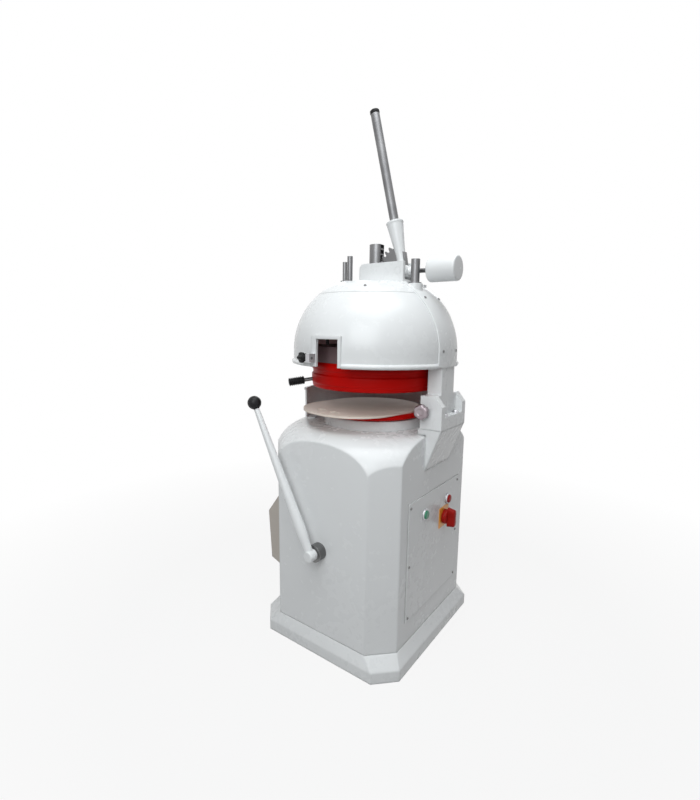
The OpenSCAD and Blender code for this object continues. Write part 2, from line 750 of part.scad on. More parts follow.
// one stamp between radii ri and ro, spanning the angle around c, with its rod
module stamp(c, ri, ro, span_a) rotate(c) union() {
    cut = asin((knife_t/2 + stamp_gap)/ri);
    translate([0, 0, stamp_z]) rotate(-span_a/2 + cut) rotate_extrude(angle=span_a - 2*cut)
        translate([ri, 0]) square([ro - ri, stamp_t]);
    translate([(ri + ro)/2, 0, stamp_z + stamp_t - 1]) cylinder(r=stamp_rod_r,
        h=head_z - stamp_z - stamp_t + 1, $fn=32);
}

edge = knife_t/2 + stamp_gap;
module press_stamps() color(white) {
    for (k = [0:2]) stamp(30 + 120*k, 14, ring1 - edge, 120);
    for (k = [0:8]) stamp(30 + 40*k, ring1 + edge, ring2 - edge, 40);
    for (k = [0:17]) stamp(20*k, ring2 + edge, grid_r - knife_t - stamp_gap, 20);
}

module ring_carrier() color(steel) difference() {
    union() {
        translate([0, 0, disc_z]) cylinder(r=carrier_r, h=disc_t);
        translate([0, 0, ring_top]) tube(carrier_r, ring_in + 16, disc_z - ring_top + 1);
    }
    translate([0, 0, disc_z - 1]) cylinder(r=spindle_r + 4, h=disc_t + 2);
    for (a = [90, 210, 330]) rotate(a) translate([knife_rod_p, 0, disc_z - 1])
        cylinder(r=knife_rod_r + run_c, h=disc_t + 2);
    for (a = [30, 150, 270]) rotate(a) translate([130, 0, disc_z - 1]) cylinder(r=34, h=disc_t + 2);
}

module stud_frame() rotate(stud_a) translate([ring_out - 20, 0, ring_z + 31]) rotate([0, 90 + stud_drop,
    0]) children();

module dividing_ring() color(red) difference() {
    rotate_extrude() polygon([[ring_in, ring_z + 3], [ring_in + 5, ring_z], [ring_out - 8, ring_z],
        [ring_out - 3, ring_z + 5],
        [ring_out - 3, ring_z + 16], [ring_out, ring_z + 19], [ring_out, ring_z + 50], [ring_out - 5,
            ring_z + 54],
        [ring_out - 5, ring_z + 66], [ring_out - 1, ring_z + 70], [ring_out - 1, ring_top - 12],
            [ring_out - 7, ring_top],
        [ring_in + 5, ring_top], [ring_in, ring_top - 5]]);
    stud_frame() cylinder(r=stud_r, h=60);
}

module guide_posts() color(steel) {
    translate([post_at[0], post_at[1], disc_z + disc_t]) cylinder(r=post_r,
        h=post_top - 15 - disc_z - disc_t);
    translate([post_left[0], post_left[1], disc_z + disc_t]) cylinder(r=thin_r,
        h=post_top + 5 - disc_z - disc_t);
    translate([stop_left[0], stop_left[1], disc_z + disc_t]) cylinder(r=stop_r,
        h=post_top - 16 - disc_z - disc_t);
}

module ring_stud() color(steel) stud_frame() cylinder(r=stud_r, h=66);

module ring_grip() color(black) stud_frame() difference() {
    union() {
        translate([0, 0, 52]) cylinder(r=13, h=60);
        for (k = [0:5]) translate([0, 0, 54 + 10*k]) cylinder(r=16, h=6);
    }
    translate([0, 0, 50]) cylinder(r=stud_r, h=16);
}

module knife_carrier() color(steel) difference() {
    translate([0, 0, knife_z1]) cylinder(r=grid_r, h=carrier_t);
    for (k = [0:2]) rotate(30 + 120*k) translate([(14 + ring1 - edge)/2, 0, knife_z1 - 1])
        cylinder(r=stamp_rod_r + 1.5, h=20, $fn=32);
    for (k = [0:8]) rotate(30 + 40*k) translate([(ring1 + ring2)/2, 0, knife_z1 - 1])
        cylinder(r=stamp_rod_r + 1.5, h=20, $fn=32);
    for (k = [0:17]) rotate(20*k) translate([(ring2 + edge + grid_r - knife_t - stamp_gap)/2, 0,
        knife_z1 - 1])
        cylinder(r=stamp_rod_r + 1.5, h=20, $fn=32);
}

// straight and curved knives, each let into the carrier on its own
module blade(a, r0, r1) rotate(a) translate([r0 + knife_gap, -knife_t/2, knife_z0])
    cube([r1 - r0 - 2*knife_gap, knife_t, knife_z1 - knife_z0]);
module knife_arcs(n, a0, r) for (k = [0:n - 1]) let (gap_a = knife_gap/r*180/PI)
    rotate(a0 + k*360/n + gap_a) rotate_extrude(angle=360/n - 2*gap_a)
        translate([r - knife_t, knife_z0]) square([knife_t, knife_z1 - knife_z0]);

module knife_grid() color(steel) {
    knife_arcs(9, 10, ring1 + knife_t/2);
    knife_arcs(18, 10, ring2 + knife_t/2);
    knife_arcs(18, 10, grid_r);
    for (k = [0:2]) blade(90 + 120*k, knife_t/2, ring1 - knife_t/2);
    for (k = [0:8]) blade(10 + 40*k, ring1 + knife_t/2, ring2 - knife_t/2);
    for (k = [0:17]) blade(10 + 20*k, ring2 + knife_t/2, grid_r - knife_t);
}

module knife_rods() color(steel) for (a = [90, 210, 330]) rotate(a) translate([knife_rod_p, 0,
    knife_z1 + carrier_t])
    cylinder(r=knife_rod_r, h=disc_z + disc_t + knife_drop + 12 - knife_z1 - carrier_t);

// frame of the rounding lever: +Z along the lever
module round_frame() translate([0, lever_y, round_z]) rotate([0, -round_lean, 0]) children();

module rounding_lever() color(white) difference() {
    union() {
        bar_y(0, round_z, hub_r, lever_y - hub_len/2, lever_y + hub_len/2);
        round_frame() cylinder(r=arm_r0, h=arm_s);
        round_frame() translate([0, 0, arm_s]) cylinder(r1=arm_r0, r2=arm_r1, h=40);
        round_frame() translate([0, 0, arm_s + 40]) cylinder(r1=arm_r1, r2=10,
            h=round_len - ball_r - arm_s - 34);
    }
    bar_y(0, round_z, round_r, lever_y - hub_len/2 + 5, lever_y + 60);
    round_frame() translate([0, 0, round_len]) sphere(ball_r);
}

module lever_ball() color(black) round_frame() translate([0, 0, round_len]) sphere(ball_r);

module rounding_shaft() color(steel) bar_y(0, round_z, round_r, lever_y - hub_len/2 + 5, 60);

// spiral cam: its radius grows evenly towards -X
module lift_cam() color(steel) difference() {
    slab(-12, 12) translate([0, round_z]) polygon(concat(
        [for (a = [-30:6:90]) [-sin(a)*(cam_r0 + cam_k*a*PI/180), cos(a)*(cam_r0 + cam_k*a*PI/180)]],
        [for (a = [110:20:320]) [-sin(a)*20, cos(a)*20]]));
    bar_y(0, round_z, round_r, -20, 20);
}

module thrust_pad() color(steel) translate([0, 0, pad_z]) cylinder(r=20, h=shaft_z0 - pad_z - gap_c);

module eccentric_shaft() color(steel) union() {
    translate([0, 0, shaft_z0]) cylinder(r=shaft_r, h=crank_z - shaft_z0 + 2);
    translate([0, 0, crank_z]) cylinder(r=46, h=crank_t);
    translate([0, -throw, crank_z]) cylinder(r=pin_r, h=table_z - crank_z - 3);
}

module balance_weight() color(steel) difference() {
    intersection() {
        translate([0, 0, crank_z]) cylinder(r=96, h=crank_t);
        box(-100, 100, 24, 100, crank_z - 1, crank_z + crank_t + 1);
    }
    translate([0, 0, crank_z - 1]) cylinder(r=46, h=crank_t + 2);
}

module table_hub() color(steel) translate([0, -throw, hub_z]) tube(44, pin_r + run_c, table_z - hub_z);

module table_disc() color(red) translate([0, -throw, table_z]) union() {
    cylinder(r=table_r - 4, h=table_t);
    translate([0, 0, 3]) cylinder(r=table_r, h=table_t - 6);
}

module plate_slot(s) translate([plate_reach - 56, s*36]) union() {
    square([20, 24], center=true);
    for (k = [-1, 1]) translate([0, k*12]) circle(10);
}

module moulding_plate() color(cream) translate([0, -throw, plate_z]) rotate(plate_dir)
    linear_extrude(plate_t) difference() {
    union() {
        circle(plate_half);
        translate([0, -plate_half]) square([plate_reach - plate_corner, 2*plate_half]);
        translate([0, -plate_half + plate_corner]) square([plate_reach, 2*plate_half - 2*plate_corner]);
        for (s = [-1, 1]) translate([plate_reach - plate_corner, s*(plate_half - plate_corner)])
            circle(plate_corner);
    }
    for (s = [-1, 1]) plate_slot(s);
}

base_plinth();
cabinet();
arm_corbel();
table_guard();
deck_collar();
drive_housing();
shaft_bushes();
motor();
motor_bracket();
motor_pulley();
drive_belt();
driven_pulley();
contactor_box();
shaft_pedestal();
lever_boss();
control_panel();
union() {
    cover_screws();
    dome_screws();
}
switch_plate();
switch_knob();
button_bezels();
green_button();
red_button();
left_hood();
head_arm();
foot_bolts();
foot_knob();
dome_cover();
setting_block();
setting_screw();
star_knob();
pivot_bracket();
pivot_pin();
guide_bushes();
lever_casting();
toothed_sector();
lever_rod();
lever_cap();
balance_rod();
counterweight();
press_spindle();
press_head();
press_stamps();
ring_carrier();
dividing_ring();
guide_posts();
ring_stud();
ring_grip();
knife_carrier();
knife_grid();
knife_rods();
rounding_lever();
lever_ball();
rounding_shaft();
lift_cam();
thrust_pad();
eccentric_shaft();
balance_weight();
table_hub();
table_disc();
moulding_plate();
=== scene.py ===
import math

import bmesh
import bpy
import numpy as np
from mathutils import Matrix


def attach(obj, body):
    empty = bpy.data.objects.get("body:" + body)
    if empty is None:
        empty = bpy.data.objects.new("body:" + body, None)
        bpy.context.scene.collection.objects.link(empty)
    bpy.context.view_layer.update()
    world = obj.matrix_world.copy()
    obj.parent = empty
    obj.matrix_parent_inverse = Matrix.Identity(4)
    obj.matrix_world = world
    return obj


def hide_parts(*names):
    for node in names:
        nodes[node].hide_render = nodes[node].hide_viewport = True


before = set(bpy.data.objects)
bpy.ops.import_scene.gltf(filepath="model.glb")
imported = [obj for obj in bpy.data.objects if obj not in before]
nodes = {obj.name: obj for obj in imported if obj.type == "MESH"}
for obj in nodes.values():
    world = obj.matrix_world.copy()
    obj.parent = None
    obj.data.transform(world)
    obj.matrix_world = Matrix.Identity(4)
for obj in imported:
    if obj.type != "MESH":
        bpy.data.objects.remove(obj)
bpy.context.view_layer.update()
print("frame loaded:", len(nodes), "nodes")


# puts a data block into the scene as an object of the same name
def addObject(name, data):
    made = bpy.data.objects.new(name, data)
    bpy.context.scene.collection.objects.link(made)
    return made


# matrix whose columns are three axes and a place
def poseOf(right, over, back, place):
    pose = np.eye(4)
    pose[:3] = np.stack([right, over, back, place], 1)
    return Matrix(pose.tolist())


# camera where the photographer stood, in metres and degrees; its focal length is in pixels of the image
cameraPlace = {"eye": (0.9706, -1.4859, 1.1842), "turn": 36.21, "down": 9.05, "roll": 0.69,
               "pixelFocal": 450.8, "longSide": 800, "sensor": 36.0, "farthest": 60}


# the view direction follows the turn and the tilt down, and the roll turns the other two axes about it
def setCamera(place):
    turn, down, roll = (math.radians(place[k]) for k in ("turn", "down", "roll"))
    level = math.cos(down)
    ahead = np.array([-math.sin(turn) * level, math.cos(turn) * level, -math.sin(down)])
    right = np.array([math.cos(turn), math.sin(turn), 0.0])
    over = np.cross(right, ahead)
    tiltRight = math.cos(roll) * right + math.sin(roll) * over
    tiltOver = -math.sin(roll) * right + math.cos(roll) * over
    lens = bpy.data.cameras.new("photoCamera")
    lens.sensor_fit = "AUTO"
    lens.sensor_width = place["sensor"]
    lens.lens = place["pixelFocal"] / place["longSide"] * place["sensor"]
    lens.clip_end = place["farthest"]
    eye = addObject("photoCamera", lens)
    eye.matrix_world = poseOf(tiltRight, tiltOver, -ahead, place["eye"])
    bpy.context.scene.camera = eye


setCamera(cameraPlace)
print("camera set")


# one output of a node; sums, differences and products of it add Math nodes
class Sock:
    def __init__(self, graph, out):
        self.graph, self.out = graph, out

    # a Math node on this value and another, the other one first where swap is set
    def maths(self, operation, other=0.0, swap=False, clamp=False):
        first, second = (other, self) if swap else (self, other)
        settings = {"operation": operation, "use_clamp": clamp}
        return self.graph.node("ShaderNodeMath", settings, {0: first, 1: second})

    def __add__(self, other):
        return self.maths("ADD", other)

    def __radd__(self, other):
        return self.maths("ADD", other, True)

    def __sub__(self, other):
        return self.maths("SUBTRACT", other)

    def __rsub__(self, other):
        return self.maths("SUBTRACT", other, True)

    def __mul__(self, other):
        return self.maths("MULTIPLY", other)

    def __rmul__(self, other):
        return self.maths("MULTIPLY", other, True)

    # the value cut to 0..1
    def clamp(self):
        return self.maths("ADD", clamp=True)


# a node tree of a material or of the world
class Graph:
    def __init__(self, tree):
        self.tree = tree

    # any node: its settings come first, then the values or links of its sockets
    def node(self, kind, settings=None, sockets=None, out=0):
        made = self.tree.nodes.new(kind)
        for key, value in (settings or {}).items():
            setattr(made, key, value)
        for key, value in (sockets or {}).items():
            self.feed(made.inputs[key], value)
        return Sock(self, made.outputs[out])

    # links an output to a socket, or sets the socket to a value
    def feed(self, socket, value):
        if isinstance(value, Sock):
            self.tree.links.new(value.out, socket)
        else:
            socket.default_value = value

    # mix of two shaders, put on the tree's output
    def blendOnto(self, output, amount, first, second):
        mixed = self.node("ShaderNodeMixShader", {}, {0: amount, 1: first, 2: second})
        self.feed(self.tree.nodes[output].inputs["Surface"], mixed)


socketNames = {"baseColor": "Base Color", "roughness": "Roughness", "metallic": "Metallic",
               "coatWeight": "Coat Weight", "coatRoughness": "Coat Roughness",
               "specular": "Specular IOR Level", "normal": "Normal"}
mixSockets = {"amount": 0, "first": 6, "second": 7, "result": 2}  # those of a Mix node on colours
softEdges = {"samples": 6, "band": (0.06, 0.34)}


# one material with its shader
class Finish(Graph):
    def __init__(self, name):
        self.material = bpy.data.materials.new(name)
        self.material.use_nodes = True
        super().__init__(self.material.node_tree)
        self.shader = self.tree.nodes["Principled BSDF"]
        self.place = self.node("ShaderNodeTexCoord", out="Object")

    # noise on the piece's own coordinates, scaled along each axis by the stretch
    def noise(self, scale, detail, rough=0.5, stretch=None):
        vector = self.place
        if stretch is not None:
            vector = self.node("ShaderNodeMapping", {}, {"Vector": vector, "Scale": stretch}, "Vector")
        sockets = {"Vector": vector, "Scale": scale, "Detail": detail, "Roughness": rough}
        return self.node("ShaderNodeTexNoise", {}, sockets, "Fac")

    # 0 at the first limit, 1 at the second and straight between them
    def band(self, value, low, high):
        sockets = {"Value": value, "From Min": low, "From Max": high}
        return self.node("ShaderNodeMapRange", {"clamp": True}, sockets, "Result")

    # blend of two colours
    def mix(self, amount, first, second):
        sockets = {mixSockets["amount"]: amount}
        for key, colour in (("first", first), ("second", second)):
            sockets[mixSockets[key]] = colour if isinstance(colour, Sock) else (*colour, 1)
        return self.node("ShaderNodeMix", {"data_type": "RGBA"}, sockets, mixSockets["result"])

    # a Vector Math node on one or two vectors
    def vectors(self, operation, *parts, out="Vector"):
        return self.node("ShaderNodeVectorMath", {"operation": operation}, dict(enumerate(parts)), out)

    # normal of edges rounded by the radius, and a mask of where it leaves the plain normal
    def softEdge(self, radius):
        soft = self.node("ShaderNodeBevel", {"samples": softEdges["samples"]}, {"Radius": radius}, "Normal")
        plain = self.node("ShaderNodeNewGeometry", out="Normal")
        facing = self.vectors("DOT_PRODUCT", soft, plain, out="Value")
        return soft, self.band(1 - facing, *softEdges["band"])

    # normal tipped by a height's slope, on top of another normal
    def bump(self, height, strength, distance, under):
        sockets = {"Height": height, "Strength": strength, "Distance": distance, "Normal": under}
        return self.node("ShaderNodeBump", {}, sockets, "Normal")

    # feeds the shader's sockets by their short names
    def wear(self, **values):
        for key, value in values.items():
            self.feed(self.shader.inputs[socketNames[key]], value)
        return self.material


# settings of the mask for the painted shade on the dome's inner face: height flattening, centre and band
domeShadeMask = {"flatten": (1.0, 1.0, 0.35), "centre": (0.0, 0.0, 0.33), "band": (-0.04, -0.10)}


# mask of the dome's inner face, where painted shade goes: with heights flattened, the normal times the way
# out from the centre is negative
def insideShadeMask(f):
    normal = f.node("ShaderNodeNewGeometry", out="True Normal")
    flat = f.vectors("MULTIPLY", f.place, domeShadeMask["flatten"])
    outward = f.vectors("SUBTRACT", flat, domeShadeMask["centre"])
    return f.band(f.vectors("DOT_PRODUCT", normal, outward, out="Value"), *domeShadeMask["band"])


paintLook = {"smear": {"scale": 2.6, "detail": 3.0, "rough": 0.45}, "smearBand": (0.45, 0.85),
             "smearShare": 0.10,
             "fine": {"scale": 38.0, "detail": 4.0}, "dustBand": (0.12, 0.0), "dustShare": 0.06,
             "chip": {"scale": 70.0, "detail": 4.0, "rough": 0.7}, "chipBand": (0.46, 0.62),
             "chipShare": 0.12, "grimeDull": 0.35, "fineDull": 0.05, "coat": 0.12, "coatRough": 0.2,
             "shine": 0.35, "peelDetail": 1.5, "peelDepth": 0.004, "peelReach": 0.0006}


# sprayed paint: orange peel, faint handling marks, a little dust low down and rubbed edges; where asked, a
# painted shade and red bounce on the dome's inner face
def paintFinish(name, shades, edge, gloss=0.24, inside=None):
    f, look = Finish(name), paintLook
    soft, rim = f.softEdge(edge)
    fine = f.noise(**look["fine"])
    height = f.node("ShaderNodeSeparateXYZ", {}, {"Vector": f.place}, "Z")
    dust = f.band(height, *look["dustBand"]) * look["dustShare"] * fine
    grime = (f.band(f.noise(**look["smear"]), *look["smearBand"]) * look["smearShare"] + dust).clamp()
    chips = f.band(rim * f.noise(**look["chip"]), *look["chipBand"])
    tone = f.mix(grime, shades["clean"], shades["dusty"])
    tone = f.mix(chips * look["chipShare"], tone, shades["chip"])
    # painted shade: the dome's inner face takes a darker, pinkish colour that stands in for its shade and for
    # red light bounced from the ring
    if inside is not None:
        tone = f.mix(insideShadeMask(f), tone, inside)
    dull = (gloss + grime * look["grimeDull"] + fine * look["fineDull"]).clamp()
    peel = f.noise(shades["peel"], look["peelDetail"])
    return f.wear(baseColor=tone, roughness=dull, coatWeight=look["coat"], coatRoughness=look["coatRough"],
                  specular=look["shine"], normal=f.bump(peel, look["peelDepth"], look["peelReach"], soft))


steelLook = {"edge": 0.0012, "edgeShare": 0.4, "edgeBright": (0.85, 0.85, 0.86),
             "streak": {"scale": 1.0, "detail": 3.0, "rough": 0.65}, "streakDull": 0.16,
             "patch": {"scale": 14.0, "detail": 4.0}, "patchBand": (0.4, 0.75), "patchShare": 0.5,
             "patchDull": 0.12, "streakDepth": 0.05, "streakReach": 0.0003}


# drawn or ground bar: fine streaks run along the axis that the stretch scales least
def steelFinish(name, shade, stretch, rough, dull=(0.20, 0.20, 0.21)):
    f, look = Finish(name), steelLook
    soft, rim = f.softEdge(look["edge"])
    streak = f.noise(**look["streak"], stretch=stretch)
    patch = f.noise(**look["patch"])
    tone = f.mix(f.band(patch, *look["patchBand"]) * look["patchShare"], shade, dull)
    tone = f.mix(rim * look["edgeShare"], tone, look["edgeBright"])
    return f.wear(baseColor=tone, metallic=1.0,
                  roughness=(rough + streak * look["streakDull"] + patch * look["patchDull"]).clamp(),
                  normal=f.bump(streak, look["streakDepth"], look["streakReach"], soft))


plasticLook = {"edge": 0.0015, "edgeShare": 0.18,
               "cloud": {"scale": 11.0, "detail": 4.0}, "cloudBand": (0.35, 0.8), "cloudShare": 0.22,
               "rub": {"scale": 85.0, "detail": 5.0, "rough": 0.75, "stretch": (1.0, 1.0, 5.0)},
               "rubBand": (0.6, 0.8), "rubShare": 0.16, "rubDull": 0.22, "cloudDull": 0.06, "coatRough": 0.1,
               "grainDetail": 1.0, "grainReach": 0.0004}


# moulded plastic: clouded tone, fine grain, level scuffs and rubbed edges
def plasticFinish(name, shade, scuff, rough, grain=900.0, coat=0.2, depth=0.05, shine=0.5):
    f, look = Finish(name), plasticLook
    soft, rim = f.softEdge(look["edge"])
    cloud = f.noise(**look["cloud"])
    rub = f.band(f.noise(**look["rub"]), *look["rubBand"])
    tone = f.mix(f.band(cloud, *look["cloudBand"]) * look["cloudShare"], shade, scuff)
    tone = f.mix((rub * look["rubShare"] + rim * look["edgeShare"]).clamp(), tone, scuff)
    dull = (rough + rub * look["rubDull"] + cloud * look["cloudDull"]).clamp()
    return f.wear(baseColor=tone, roughness=dull, coatWeight=coat, coatRoughness=look["coatRough"],
                  specular=shine,
                  normal=f.bump(f.noise(grain, look["grainDetail"]), depth, look["grainReach"], soft))


boardLook = {"edge": 0.003,
             "pale": (0.80, 0.70, 0.62), "stained": (0.72, 0.62, 0.53), "flour": (0.86, 0.79, 0.72),
             "cuts": {"scale": 1.0, "detail": 4.0, "rough": 0.7}, "along": (26.0, 210.0, 60.0),
             "across": (190.0, 30.0, 60.0), "cutBand": (0.62, 0.75), "cutShare": 0.22,
             "stain": {"scale": 9.0, "detail": 5.0, "rough": 0.6}, "stainBand": (0.4, 0.75),
             "rough": 0.5, "cutDull": 0.15, "cutDepth": 0.15, "cutReach": 0.0004}


# board of the moulding plate: stained tone, flour in two sets of crossing cuts, a matt face
def boardFinish(name):
    f, look = Finish(name), boardLook
    soft = f.softEdge(look["edge"])[0]
    along = f.noise(**look["cuts"], stretch=look["along"])
    across = f.noise(**look["cuts"], stretch=look["across"])
    cuts = [f.band(lines, *look["cutBand"]) * look["cutShare"] for lines in (along, across)]
    tone = f.mix(f.band(f.noise(**look["stain"]), *look["stainBand"]), look["pale"], look["stained"])
    tone = f.mix((cuts[0] + cuts[1]).clamp(), tone, look["flour"])
    return f.wear(baseColor=tone, roughness=(look["rough"] + along * look["cutDull"]).clamp(),
                  normal=f.bump(along + across, look["cutDepth"], look["cutReach"], soft))


castLook = {"edge": 0.002, "edgeShare": 0.3, "edgeGrey": (0.5, 0.5, 0.5), "metal": 0.6, "rough": 0.48,
            "grains": {"scale": 420.0, "detail": 3.0}, "cloud": {"scale": 18.0, "detail": 4.0},
            "grainDull": 0.2, "grainDepth": 0.35, "grainReach": 0.0008}


# sand casting: grey oxide skin with a coarse bump
def castFinish(name, shade, dark):
    f, look = Finish(name), castLook
    soft, rim = f.softEdge(look["edge"])
    grains = f.noise(**look["grains"])
    tone = f.mix(f.noise(**look["cloud"]), shade, dark)
    tone = f.mix(rim * look["edgeShare"], tone, look["edgeGrey"])
    return f.wear(baseColor=tone, metallic=look["metal"],
                  roughness=(look["rough"] + grains * look["grainDull"]).clamp(),
                  normal=f.bump(grains, look["grainDepth"], look["grainReach"], soft))


enamel = {"clean": (0.80, 0.815, 0.82), "dusty": (0.66, 0.655, 0.63), "chip": (0.50, 0.49, 0.47),
          "peel": 330.0}
hoodBeige = {"clean": (0.55, 0.505, 0.455), "dusty": (0.48, 0.435, 0.385), "chip": (0.42, 0.38, 0.33),
             "peel": 300.0}

# how each finish is made; a shade is a linear colour and a stretch sets the way of the streaks
finishSpecs = {
    "enamelBody": (paintFinish, {"shades": enamel, "edge": 0.011}),
    "enamelHead": (paintFinish, {"shades": enamel, "edge": 0.005}),
    # the dome's inner face is darker and pinkish: painted shade and painted red bounce from the ring
    "domeShell": (paintFinish, {"shades": enamel, "edge": 0.005, "inside": (0.62, 0.52, 0.52)}),
    "enamelFine": (paintFinish, {"shades": enamel, "edge": 0.002}),
    "hoodPaint": (paintFinish, {"shades": hoodBeige, "edge": 0.005, "gloss": 0.38}),
    "barSteel": (steelFinish, {"shade": (0.21, 0.21, 0.215), "stretch": (420.0, 420.0, 3.0), "rough": 0.28,
                               "dull": (0.10, 0.10, 0.105)}),
    "turnedSteel": (steelFinish, {"shade": (0.56, 0.56, 0.58), "stretch": (30.0, 30.0, 520.0), "rough": 0.3}),
    "bossSteel": (steelFinish, {"shade": (0.22, 0.22, 0.22), "stretch": (420.0, 6.0, 420.0), "rough": 0.36,
                                "dull": (0.08, 0.08, 0.08)}),
    "knobMetal": (steelFinish, {"shade": (0.34, 0.29, 0.31), "stretch": (60.0, 300.0, 60.0), "rough": 0.26,
                                "dull": (0.20, 0.15, 0.17)}),
    "bushBronze": (steelFinish, {"shade": (0.62, 0.42, 0.17), "stretch": (40.0, 40.0, 500.0), "rough": 0.32,
                                 "dull": (0.38, 0.25, 0.10)}),
    "ringRed": (plasticFinish, {"shade": (0.56, 0.003, 0.0015), "scuff": (0.36, 0.002, 0.001), "rough": 0.4,
                                "grain": 700.0, "coat": 0.0, "shine": 0.10}),
    "keyRed": (plasticFinish, {"shade": (0.34, 0.008, 0.005), "scuff": (0.25, 0.008, 0.006), "rough": 0.36,
                               "coat": 0.0, "shine": 0.14}),
    "keyGreen": (plasticFinish, {"shade": (0.012, 0.22, 0.11), "scuff": (0.03, 0.30, 0.18), "rough": 0.3}),
    "switchAmber": (plasticFinish, {"shade": (0.86, 0.36, 0.035), "scuff": (0.70, 0.30, 0.05),
                                    "rough": 0.35}),
    "knobBlack": (plasticFinish, {"shade": (0.008, 0.008, 0.009), "scuff": (0.03, 0.03, 0.03), "rough": 0.36,
                                  "grain": 1200.0, "coat": 0.0, "depth": 0.12, "shine": 0.2}),
    "beltRubber": (plasticFinish, {"shade": (0.02, 0.02, 0.02), "scuff": (0.06, 0.06, 0.06), "rough": 0.65,
                                   "grain": 500.0, "coat": 0.0, "depth": 0.3}),
    "stampWhite": (plasticFinish, {"shade": (0.74, 0.73, 0.70), "scuff": (0.62, 0.58, 0.50), "rough": 0.35}),
    # dark reddish grey of the carriers within the dome: a grey finish with painted shade and painted red
    # bounce from the ring mixed into its tone
    "carrierGrey": (plasticFinish, {"shade": (0.17, 0.115, 0.12), "scuff": (0.13, 0.095, 0.10), "rough": 0.5,
                                    "grain": 500.0, "coat": 0.0, "depth": 0.1, "shine": 0.2}),
    "gasketGrey": (plasticFinish, {"shade": (0.50, 0.50, 0.50), "scuff": (0.42, 0.42, 0.42), "rough": 0.6,
                                   "grain": 600.0, "coat": 0.0, "depth": 0.2}),
    "boardCream": (boardFinish, {}),
    "castGrey": (castFinish, {"shade": (0.22, 0.23, 0.24), "dark": (0.12, 0.12, 0.13)}),
}
finishes = {name: make(name, **spec) for name, (make, spec) in finishSpecs.items()}

# the nodes that wear each finish
worn = {
    "enamelBody": "base_plinth cabinet arm_corbel",
    "enamelHead": "head_arm pivot_bracket deck_collar table_guard",
    "domeShell": "dome_cover",
    "enamelFine": "control_panel lever_casting counterweight rounding_lever pivot_pin",
    "hoodPaint": "left_hood",
    "barSteel": "lever_rod press_spindle guide_posts knife_rods knife_grid guide_bushes balance_rod "
                "toothed_sector setting_screw ring_stud",
    "turnedSteel": "button_bezels rounding_shaft lift_cam thrust_pad eccentric_shaft table_hub motor_bracket "
                   "cover_screws foot_bolts setting_block",
    "bossSteel": "lever_boss",
    "carrierGrey": "ring_carrier press_head knife_carrier",
    "knobMetal": "foot_knob",
    "ringRed": "dividing_ring table_disc",
    "keyRed": "red_button switch_knob",
    "keyGreen": "green_button",
    "switchAmber": "switch_plate",
    "knobBlack": "star_knob ring_grip lever_ball lever_cap contactor_box",
    "boardCream": "moulding_plate",
    "castGrey": "drive_housing motor motor_pulley driven_pulley shaft_pedestal balance_weight",
    "bushBronze": "shaft_bushes",
    "beltRubber": "drive_belt",
    "stampWhite": "press_stamps",
}
for finishName, wearers in worn.items():
    for wearer in wearers.split():
        skin = nodes[wearer].data
        skin.materials.clear()
        skin.materials.append(finishes[finishName])
print("finishes:", len(finishes))

weld = {"merge": 1e-6, "sliver": 1e-7}  # metres; nearer points become one, and thinner faces go
easing = {"mostShare": 0.49, "leastLength": 1e-9}  # share of a side that one corner may take
uprightLimit = 0.9  # an axis steeper than this takes +X as its side


# quads of a grid whose columns close on themselves, and its rows too where asked
def gridQuads(rows, cols, closeRows):
    i = np.arange(rows if closeRows else rows - 1)[:, None]
    j = np.arange(cols)[None, :]
    up, on = (i + 1) % rows, (j + 1) % cols
    corners = np.broadcast_arrays(i * cols + j, i * cols + on, up * cols + on, up * cols + j)
    return np.stack(corners, -1).reshape(-1, 4)


# joins grids of points into one mesh, closes its poles and turns its faces outwards
def putPiece(name, grids, finish, body, stands=(), sharp=35.0):
    points, quads, start = [], [], 0
    for grid, closeRows in grids:
        rows, cols = grid.shape[:2]
        points.append(grid.reshape(-1, 3))
        quads.append(gridQuads(rows, cols, closeRows) + start)
        start += rows * cols
    points, quads = np.concatenate(points), np.concatenate(quads)
    mesh = bpy.data.meshes.new(name)
    mesh.vertices.add(len(points))
    mesh.vertices.foreach_set("co", points.astype(np.float32).ravel())
    mesh.loops.add(quads.size)
    mesh.loops.foreach_set("vertex_index", quads.astype(np.int32).ravel())
    mesh.polygons.add(len(quads))
    mesh.polygons.foreach_set("loop_start", np.arange(0, quads.size, 4, dtype=np.int32))
    mesh.update(calc_edges=True)
    work = bmesh.new()
    work.from_mesh(mesh)
    bmesh.ops.remove_doubles(work, verts=work.verts, dist=weld["merge"])
    bmesh.ops.dissolve_degenerate(work, edges=work.edges, dist=weld["sliver"])
    bmesh.ops.recalc_face_normals(work, faces=work.faces)
    work.to_mesh(mesh)
    work.free()
    mesh.shade_smooth()
    mesh.set_sharp_from_angle(angle=math.radians(sharp))
    mesh.materials.append(finishes[finish])
    piece = addObject(name, mesh)
    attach(piece, body)
    if stands:
        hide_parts(*stands)


# polyline with each inner corner eased by a short parabola; the reach is one length, or one for each corner
def easeLine(corners, reach, steps=5):
    corners = np.array(corners, float)
    reach = np.broadcast_to(reach, len(corners) - 2)
    most, least = easing["mostShare"], easing["leastLength"]
    t = np.linspace(0, 1, steps + 1)[:, None]
    line = [corners[:1]]
    for before, corner, after, r in zip(corners[:-2], corners[1:-1], corners[2:], reach):
        back, ahead = before - corner, after - corner
        a, b = (corner + way * min(most, r / max(np.linalg.norm(way), least)) for way in (back, ahead))
        line.append((1 - t) ** 2 * a + 2 * t * (1 - t) * corner + t**2 * b)
    return np.concatenate(line + [corners[-1:]])


